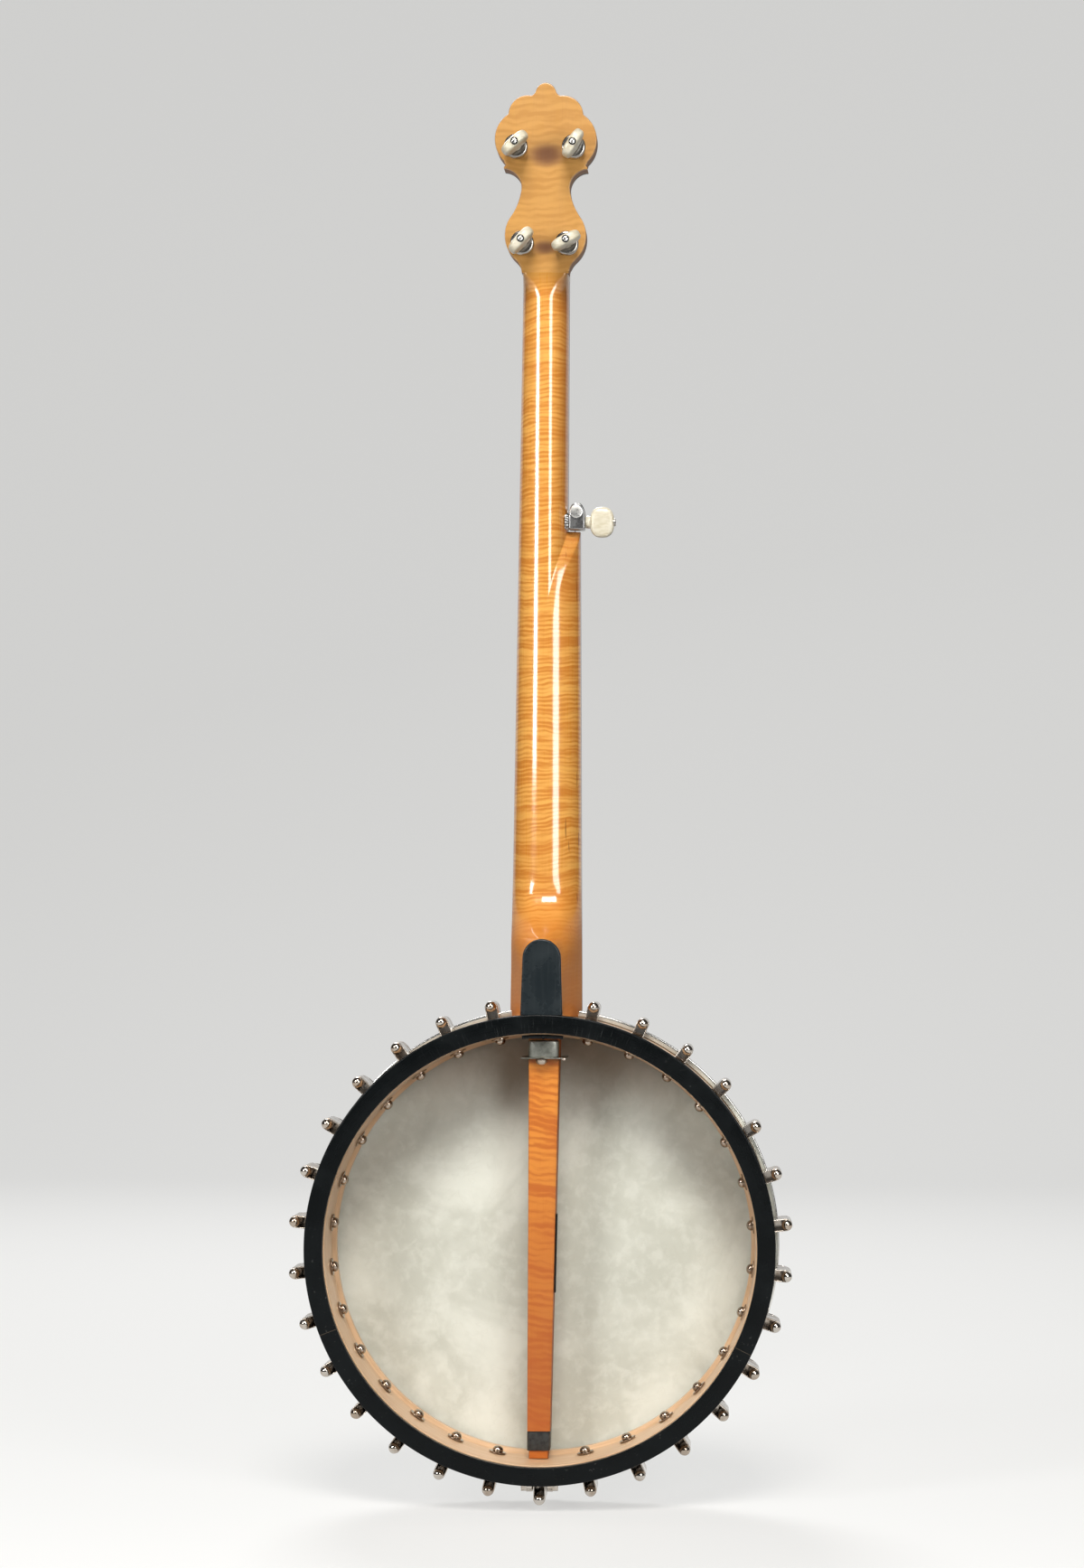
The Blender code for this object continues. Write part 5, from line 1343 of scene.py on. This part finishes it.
def recess_skin(start):
    """A painted shadow: the dark ring round a button's screw, standing for its hole's shadow, level with
    the button's tip.
    """
    return lathe(profile(start, (0.4, -2), (2.4, -2), (2.4, -0.2), (2.2, -0.1), (0.4, -0.1)), 40)


def make_peg(name, x, height):
    """A geared peg: the body through the peghead, the post in front, the button behind."""
    place = IN_PEGHEAD @ moved(x, 0, height)
    back = -PEGHEAD_THICKNESS - GAP
    rear = back - PEG_BODY_LENGTH
    front = 2 * GAP + OVERLAY
    web = back + 0.002
    corners = profile(rear, (2.6, 4), (2.6, 0), (7.7, 0), (7.7, 7.6), (5.6, 10.4), (5.6, 14), (4.7, 14))
    corners += profile(front, (4.7, 0), (5.6, 0), (5.4, 1.6), (3.3, 1.6)) + profile(web, (3.3, 0))
    ease = np.array([1, 3, 13, 9, 12, 2, 1, 1, 2, 7, 3, 1]) * 0.1 * MM
    body = ring(rounded(corners, ease), 64).moved(place)
    body.piece(f"{name}_housing", metal("nickel_dark"), [f"{name}_peg_body"], "nickel")
    section = profile(web + GAP, (0.4, 0), (3, 0)) + profile(front, (3, 2.1), (2.3, 2.5))
    section += profile(front + POST_RISE, (2.3, -1.4), (3, -0.9), (2.6, 0), (0.4, 0.2))
    node = f"{name}_peg_post"
    lathe(section, 40).moved(place).piece(f"{name}_shaft", metal("nickel"), [node], "nickel", body=node)
    turn = place @ turned_about("Y", -math.radians(BUTTON_ANGLES[name])) @ turned_about("Z", math.pi)
    start = -rear + GAP
    tip = start + 0.0016 + BUTTON_SIZE[1]
    shaft = lathe(profile(start, (0.5, -4), (2.3, -4), (2.3, 0.2)))
    node = f"{name}_peg_button"
    for skin, part, finish, slot in (
        (button_skin(start).join(shaft), "key", ivoroid(), "ivoroid"),
        (screw_skin(tip), "screw", metal("nickel_brushed"), "nickel"),
        # a painted shadow ring round the screw
        (recess_skin(tip), "shadow_ring", dark_lacquer(), "ivoroid"),
    ):
        skin.moved(turn).piece(f"{name}_{part}", finish, [node], slot, body=node)


def make_fifth_peg():
    """The geared peg in the neck's side: a beaded collar, a case with a capped barrel, a button."""
    middle = IN_NECK @ moved(0, -FIFTH_DEPTH, FIFTH_AT)
    across = middle @ turned_about("Z", -QUARTER)
    seat, case, far = FIFTH_SEAT, FIFTH_CASE, FIFTH_CASE + 0.0106
    section = profile(seat, (0.5, -5.5), (3.5, -5.5), (3.5, 0), (5, 0), (5.5, 0.4), (5.5, 2.4),
                      (5.1, 3), (4.6, 3.6), (0.5, 3.6))
    points = spun(section, 160)
    angle = np.arange(160) * TAU / 160
    on_edge = np.array([0, 0, 0, 0.4, 1, 1, 0.6, 0, 0])[:, None]
    points[..., ::2] *= 1 + (0.12 * (np.abs(np.sin(angle * 8)) ** 0.7 - 0.7) * on_edge)[..., None]
    top = 0.0119
    corners = [(case, -0.0053), (far, -0.0053), (far, 0.007), (far - 0.0024, top), (case + 0.0022, top)]
    outline = rounded(corners + [(case, 0.007)], np.array([1.2, 1.2, 2.2, 2.2, 2.2, 2.2]) * MM, 6)
    half = 0.0058
    body = Skin().tube(points).moved(across).join(slab(outline, -half, half, 0.0009).moved(middle))
    body.piece("fifth_housing", metal("nickel_worn"), ["fifth_peg_body"], "nickel")
    section = profile(-half - GAP, (0.4, -1.4), (3.6, -1.4), (4, -1.3), (4.25, -0.9), (4.25, 0), (3, 0))
    section += profile(FIFTH_DEPTH, (3, 0), (2.3, 0.5), (2.3, 3.8), (3, 4.4), (2.4, 5), (0.4, 5.1))
    post = lathe(section, 56).moved(IN_NECK @ moved(FIFTH_POST[0], -FIFTH_DEPTH, FIFTH_POST[1]))
    node = "fifth_peg_post"
    post.piece("fifth_shaft", metal("nickel_brushed"), [node], "nickel", body=node)
    start = far + GAP
    shaft = lathe(profile(start, (0.5, -6.6), (1.7, -6.6), (1.7, 0.2)), 28)
    flat = across @ turned_about("Y", QUARTER)
    node = "fifth_peg_button"
    button = button_skin(start, 0.003, 0.0041).join(shaft).moved(flat)
    button.piece("fifth_key", ivoroid(), [node], "ivoroid", body=node)
    tip = start + 0.0042 + BUTTON_SIZE[1]
    knob = lathe(profile(tip, (0.8, -3), (2.6, -3), (2.6, -0.4), (2.2, 0), (0.4, 0)), 36)
    knob.moved(flat).piece("fifth_screw", metal("nickel_dark"), [node], "nickel", body=node)


# The bridge, the tailpiece and the strings


def make_bridge():
    """Three feet with two arches between them, thinner towards the top."""
    half = 0.035
    foot, top, arch = half / 6, half - 0.01, 0.0062
    right = [(foot / 2, 0.0), (foot / 2 + 0.002, arch), (half - foot - 0.002, arch), (half - foot, 0.0)]
    right += [(half, 0.0), (half - 0.001, 0.5 * arch), (top, BRIDGE_HEIGHT)]
    corners = right + [(-x, rise) for x, rise in right[::-1]]
    ease = np.array([0.0005, 0.0025, 0.0025, 0.0005, 0.0005, 0.0015, 0.0006])
    outline = rounded(corners, np.concatenate([ease, ease[::-1]]), 6)
    skin = slab(outline, -1.0, 1.0, 0.0004)
    across, side, rise = skin.points[0].T
    thick = mix(0.0066, 0.0026, rise / BRIDGE_HEIGHT) / 2 - (1 - np.abs(side))
    skin.points[0] = np.stack([across, HEAD_FRONT + GAP + rise, BRIDGE_AT + np.sign(side) * thick], -1)
    skin.moved(IN_POT).piece("bridge_wood", bridge_maple(), ["bridge"], "bridge_maple", 30.0)


def wound(centre, radius, top, hand):
    """A string's turn round a post: the angle grows evenly while it sinks towards the wood."""
    t = np.linspace(0, 1, 40)
    x = centre[0] + hand * radius * np.cos(TAU * t)
    z = centre[1] + radius * np.sin(TAU * t)
    return np.stack([x, top - STRING_SINK * t, z], -1)


def string_paths():
    """Each string from the tailpiece over the bridge and the nut, or the pip, round its post."""
    coil = POST_WAIST + GAP + STRING_RADIUS
    rest = NUT_RISE + GAP + STRING_RADIUS
    pegs = {name: (x, height) for name, x, height in peg_places()}
    top = GAP + OVERLAY + POST_RISE - STRING_SINK - STRING_RADIUS
    ends = []
    for i, name in enumerate(("lower_left", "upper_left", "upper_right", "lower_right")):
        nut = np.array([[PEGHEAD_AT + (i - 1.5) * STRING_SPACING, rest, NUT_AT + 0.0024]])
        turn = wound(pegs[name], coil, top, -math.copysign(1, pegs[name][0]))
        ends.append(np.concatenate([placed(nut, IN_NECK), placed(turn, IN_PEGHEAD)]))
    turn = wound(FIFTH_POST, coil, 0.005 - STRING_SINK - GAP - STRING_RADIUS, -1)
    ends.append(placed(np.concatenate([[(PIP[0], rest, PIP[1])], turn]), IN_NECK))
    hook = HOOP_FRONT + GAP + 0.001
    bridge_top = HEAD_FRONT + 2 * GAP + BRIDGE_HEIGHT + STRING_RADIUS
    paths = []
    for i, end in enumerate(ends):
        start = [((i - 2) * 0.005, hook, -TAIL_END - 0.003), ((i - 2) * 0.0108, bridge_top, BRIDGE_AT)]
        paths.append(np.concatenate([placed(np.array(start), IN_POT), end]))
    return paths


def make_tailpiece():
    """A plate over the hoop with two legs down to the tail's shoe, and the strings."""
    leg = SHOE_WIDTH / 2 + 0.0006
    leg_outer = leg + 0.0042
    neck = leg_outer + 0.0006
    front = HOOP_FRONT + GAP + 0.002
    inner = HOOP_RADIUS + 2 * GAP
    outer = inner + 0.002
    right = [(neck, outer), (neck, TAIL_END + 0.02), (0.015, TAIL_END + 0.015)]
    right += [(0.015, TAIL_END + 0.003), (0.01, TAIL_END)]
    ease = [0.0008, 0.004, 0.003, 0.0022, 0.0022]
    outline = rounded(right + [(-x, z) for x, z in right[::-1]], ease + ease[::-1], 6)
    plate = slab(outline, HOOP_FRONT + GAP, front, 0.0005)
    for side in (-1, 1):
        low, high = sorted((side * leg, side * leg_outer))
        plate.join(block((low, 0.015, inner), (high, front - 0.0004, outer - 0.0002)))
        low, high = sorted((side * (leg + 0.0003), side * (leg + 0.0076)))
        plate.join(block((low, 0.0152, RIM_RADIUS + 3 * GAP), (high, 0.017, outer - 0.0006)))
    turn = IN_POT @ turned_about("Y", TAIL_STATION * TAU / STATIONS)
    plate.moved(turn).piece("tailpiece_plate", metal("nickel"), ["tailpiece"], "nickel")
    strings = Skin().join(*(Skin().tube(swept(path, STRING_RADIUS, 8)) for path in string_paths()))
    strings.piece("string_wires", metal("string_steel"), ["tailpiece"], "nickel")


# The stage


def area_light(name, place, target, size, watts, colour=(1.0, 1.0, 1.0)):
    """A rectangular lamp at a place, facing a target, both in the pot's frame."""
    lamp = bpy.data.lights.new(name, "AREA")
    lamp.shape = "RECTANGLE"
    lamp.size, lamp.size_y = size
    lamp.energy = watts
    lamp.color = colour
    obj = bpy.data.objects.new(name, lamp)
    bpy.context.scene.collection.objects.link(obj)
    obj.location = POT + np.array(place)
    way = Vector(np.array(target) - np.array(place))
    obj.rotation_euler = way.to_track_quat("-Z", "Y").to_euler()
    return obj


def make_lights(stage):
    """Two tall soft boxes beside the neck, one large lamp above, a weak one low down, and one on
    the side of the strings."""
    strips = stage.strip_power
    area_light("left_box", (-0.86, -0.98, 0.63), (0, 0, 0.6), (0.32, 0.54), 1.0 * strips)
    area_light("right_box", (0.66, -1.16, 0.56), (0, 0, 0.53), (0.42, 0.7), 0.85 * strips)
    warm = (1.0, 0.97, 0.93)
    area_light("key_light", (0.05, -1.8, 2.0), (0, 0, 0.1), (0.9, 0.9), stage.key_power, warm)
    area_light("fill_light", (0.2, -2.4, -0.2), (0, 0, 0.1), (1.6, 1.6), stage.fill_power)
    area_light("far_light", (-0.5, 2.2, 2.2), (0, 0, 0.2), (1.0, 1.0), stage.far_power)


def make_floor(stage):
    """A pale sheet that runs back from the camera and curves up behind the object."""
    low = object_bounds()[0][2] - 0.004
    back = float(POT[1]) + stage.backdrop_distance
    bend, reach = 0.6, 4.5
    a = np.linspace(0, QUARTER, 24)
    y = np.array([-reach, *(back - bend + bend * np.sin(a)), back])[:, None]
    rise = np.array([0, *(bend * (1 - np.cos(a))), reach])[:, None]
    points = np.stack(np.broadcast_arrays([-reach, reach], y, low + rise), -1)
    skin = Skin().grid(points)
    mesh = bpy.data.meshes.new("floor_sheet")
    mesh.from_pydata(skin.points[0].tolist(), [], skin.faces[0].tolist())
    mesh.shade_smooth()
    paper = tuple(stage.floor_colour)
    finish = Finish("stage_paper", paper, emission_strength=stage.paper_glow)
    rays = finish.node("ShaderNodeLightPath").socket.node.outputs
    camera, glossy, through = (
        Wire(finish, rays[f"Is {kind} Ray"]) for kind in ("Camera", "Glossy", "Transmission"))
    seen = camera + glossy + through
    shade = finish.layered(scaled(paper, 0.42), (finish.noise(1.5) * 0.06, (0.2, 0.2, 0.2)))
    base = finish.layered(scaled(paper, 0.25), (seen, shade))
    glow = finish.layered((0.0, 0.0, 0.0), (seen, paper))
    mesh.materials.append(finish.done(base, 0.9, emission_color=glow))
    sheet = bpy.data.objects.new("floor_sheet", mesh)
    bpy.context.scene.collection.objects.link(sheet)
    sheet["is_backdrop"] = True


def make_world(stage):
    world = bpy.data.worlds.new("studio")
    world.use_nodes = True
    world.node_tree.nodes["Background"].inputs["Color"].default_value = (*stage.room_colour, 1.0)
    world.node_tree.nodes["Background"].inputs["Strength"].default_value = stage.room_strength
    bpy.context.scene.world = world
    bpy.context.scene.view_settings.view_transform = "Standard"


def make_camera(stage):
    camera = bpy.data.objects.new("camera", bpy.data.cameras.new("camera"))
    bpy.context.scene.collection.objects.link(camera)
    camera.data.lens = stage.lens
    camera.data.sensor_width = 36.0
    camera.data.clip_start = 0.05
    camera.data.shift_x, camera.data.shift_y = stage.lens_shift
    place = Vector(POT) + Vector(stage.camera_place)
    way = Vector(POT) + Vector(stage.camera_target) - place
    roll = Matrix.Rotation(stage.camera_roll, 4, "Z")
    facing = way.to_track_quat("-Z", "Y").to_matrix().to_4x4()
    camera.matrix_world = Matrix.Translation(place) @ facing @ roll
    bpy.context.scene.camera = camera


# The add-on


class BanjoWood(bpy.types.PropertyGroup):
    """How the maple looks."""

    flame_light: FloatVectorProperty(
        name="Light flame", description="Colour of the figure's bright bands", subtype="COLOR",
        default=(0.78, 0.39, 0.085), min=0.0, max=1.0)
    flame_dark: FloatVectorProperty(
        name="Dark flame", description="Colour of the figure's dark bands", subtype="COLOR",
        default=(0.58, 0.205, 0.026), min=0.0, max=1.0)
    flame_spacing: FloatProperty(
        name="Flame spacing", description="Distance between bands of the figure", unit="LENGTH",
        default=0.0028, min=0.001, max=0.02)


class BanjoStage(bpy.types.PropertyGroup):
    """The camera, the lamps and the paper."""

    camera_place: FloatVectorProperty(
        name="Camera", description="Where the camera stands from the pot's centre",
        subtype="TRANSLATION", default=(0.1168, -2.1912, 0.1976))
    camera_target: FloatVectorProperty(
        name="Target", description="What the camera faces, from the pot's centre",
        subtype="TRANSLATION", default=(0.1214, 0.0, 0.1643))
    camera_roll: FloatProperty(
        name="Roll", description="The camera's turn about its own axis", unit="ROTATION",
        default=math.radians(0.4))
    lens: FloatProperty(
        name="Lens", description="Focal length on a sensor 36 mm along its long side", unit="CAMERA",
        default=78.12, min=10.0)
    lens_shift: FloatVectorProperty(
        name="Lens shift", description="How far the image is moved across the lens, in image lengths",
        size=2, default=(-0.1197, 0.1362))
    key_power: FloatProperty(
        name="Key light", description="Power of the large lamp above", subtype="POWER", unit="POWER",
        default=56.0, min=0.0)
    strip_power: FloatProperty(
        name="Strip lights", description="Power of the tall lamp on the left", subtype="POWER",
        unit="POWER", default=9.0, min=0.0)
    fill_power: FloatProperty(
        name="Fill light", description="Power of the soft lamp in front", subtype="POWER", unit="POWER",
        default=0.4, min=0.0)
    far_power: FloatProperty(
        name="Far light", description="Power of the lamp on the side of the strings", subtype="POWER",
        unit="POWER", default=52.0, min=0.0)
    floor_colour: FloatVectorProperty(
        name="Paper", description="Colour of the floor and the backdrop", subtype="COLOR",
        default=(0.72, 0.72, 0.71), min=0.0, max=1.0)
    paper_glow: FloatProperty(
        name="Paper glow", description="How strongly lamps of its own light the paper", default=0.76,
        min=0.0)
    backdrop_distance: FloatProperty(
        name="Backdrop distance", description="How far behind the pot the paper stands up",
        unit="LENGTH", default=3.6, min=0.7)
    room_colour: FloatVectorProperty(
        name="Room", description="Colour of the light from all round", subtype="COLOR",
        default=(1.0, 1.0, 1.0), min=0.0, max=1.0)
    room_strength: FloatProperty(
        name="Room light", description="Strength of the light from all round", default=0.06, min=0.0)


class PotOperator(bpy.types.Operator):
    """Make the rim, its cap, the tone ring, the skin head and the tension hoop"""

    bl_idname = "banjo.pot"
    bl_label = "Pot"

    def execute(self, context):
        make_rim()
        make_cap()
        make_tone_ring()
        make_head()
        make_tension_hoop()
        return {"FINISHED"}


class HooksOperator(bpy.types.Operator):
    """Make the hooks, nuts, shoes and bolts round the pot"""

    bl_idname = "banjo.hooks"
    bl_label = "Hooks and shoes"

    def execute(self, context):
        make_brackets()
        return {"FINISHED"}


class DowelOperator(bpy.types.Operator):
    """Make the dowel stick, its side plate, its ferrule and the neck brace"""

    bl_idname = "banjo.dowel"
    bl_label = "Dowel stick and brace"

    def execute(self, context):
        make_dowel()
        make_side_plate()
        make_ferrule()
        make_brace()
        return {"FINISHED"}


class NeckOperator(bpy.types.Operator):
    """Make the neck, the heel's tongue, the fingerboard, its frets and the nuts"""

    bl_idname = "banjo.neck"
    bl_label = "Neck"

    def execute(self, context):
        make_neck_wood()
        make_heel_cap()
        make_fingerboard()
        make_nut()
        make_pip()
        return {"FINISHED"}


class PegheadOperator(bpy.types.Operator):
    """Make the peghead and its overlay"""

    bl_idname = "banjo.peghead"
    bl_label = "Peghead"

    def execute(self, context):
        make_peghead()
        make_overlay()
        return {"FINISHED"}


class PegsOperator(bpy.types.Operator):
    """Make the five geared pegs"""

    bl_idname = "banjo.pegs"
    bl_label = "Pegs"

    def execute(self, context):
        for name, x, height in peg_places():
            make_peg(name, x, height)
        make_fifth_peg()
        return {"FINISHED"}


class StringsOperator(bpy.types.Operator):
    """Make the tailpiece, the strings and the bridge"""

    bl_idname = "banjo.strings"
    bl_label = "Strings and bridge"

    def execute(self, context):
        make_tailpiece()
        make_bridge()
        return {"FINISHED"}


class StageOperator(bpy.types.Operator):
    """Set up the paper, the lamps and the camera"""

    bl_idname = "banjo.stage"
    bl_label = "Stage"

    def execute(self, context):
        stage = context.scene.banjo_stage
        make_world(stage)
        make_floor(stage)
        make_lights(stage)
        make_camera(stage)
        return {"FINISHED"}


PIECES = (
    PotOperator,
    HooksOperator,
    DowelOperator,
    NeckOperator,
    PegheadOperator,
    PegsOperator,
    StringsOperator,
    StageOperator,
)


class BanjoPanel(bpy.types.Panel):
    """The banjo's steps in the 3D view's sidebar"""

    bl_idname = "VIEW3D_PT_banjo"
    bl_label = "Open-back banjo"
    bl_space_type = "VIEW_3D"
    bl_region_type = "UI"
    bl_category = "Banjo"

    def draw(self, context):
        for piece in PIECES:
            self.layout.operator(piece.bl_idname)
        for settings in (context.scene.banjo_wood, context.scene.banjo_stage):
            for key in settings.__annotations__:
                self.layout.prop(settings, key)


CLASSES = (BanjoWood, BanjoStage, *PIECES, BanjoPanel)


def register():
    for cls in CLASSES:
        bpy.utils.register_class(cls)
    bpy.types.Scene.banjo_wood = PointerProperty(type=BanjoWood)
    bpy.types.Scene.banjo_stage = PointerProperty(type=BanjoStage)


def unregister():
    del bpy.types.Scene.banjo_stage
    del bpy.types.Scene.banjo_wood
    for cls in reversed(CLASSES):
        bpy.utils.unregister_class(cls)


def main():
    """Runs the steps in order."""
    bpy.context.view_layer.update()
    register()
    bpy.ops.banjo.pot()
    bpy.ops.banjo.hooks()
    bpy.ops.banjo.dowel()
    bpy.ops.banjo.neck()
    bpy.ops.banjo.peghead()
    bpy.ops.banjo.pegs()
    bpy.ops.banjo.strings()
    bpy.ops.banjo.stage()


if __name__ == "__main__":
    main()
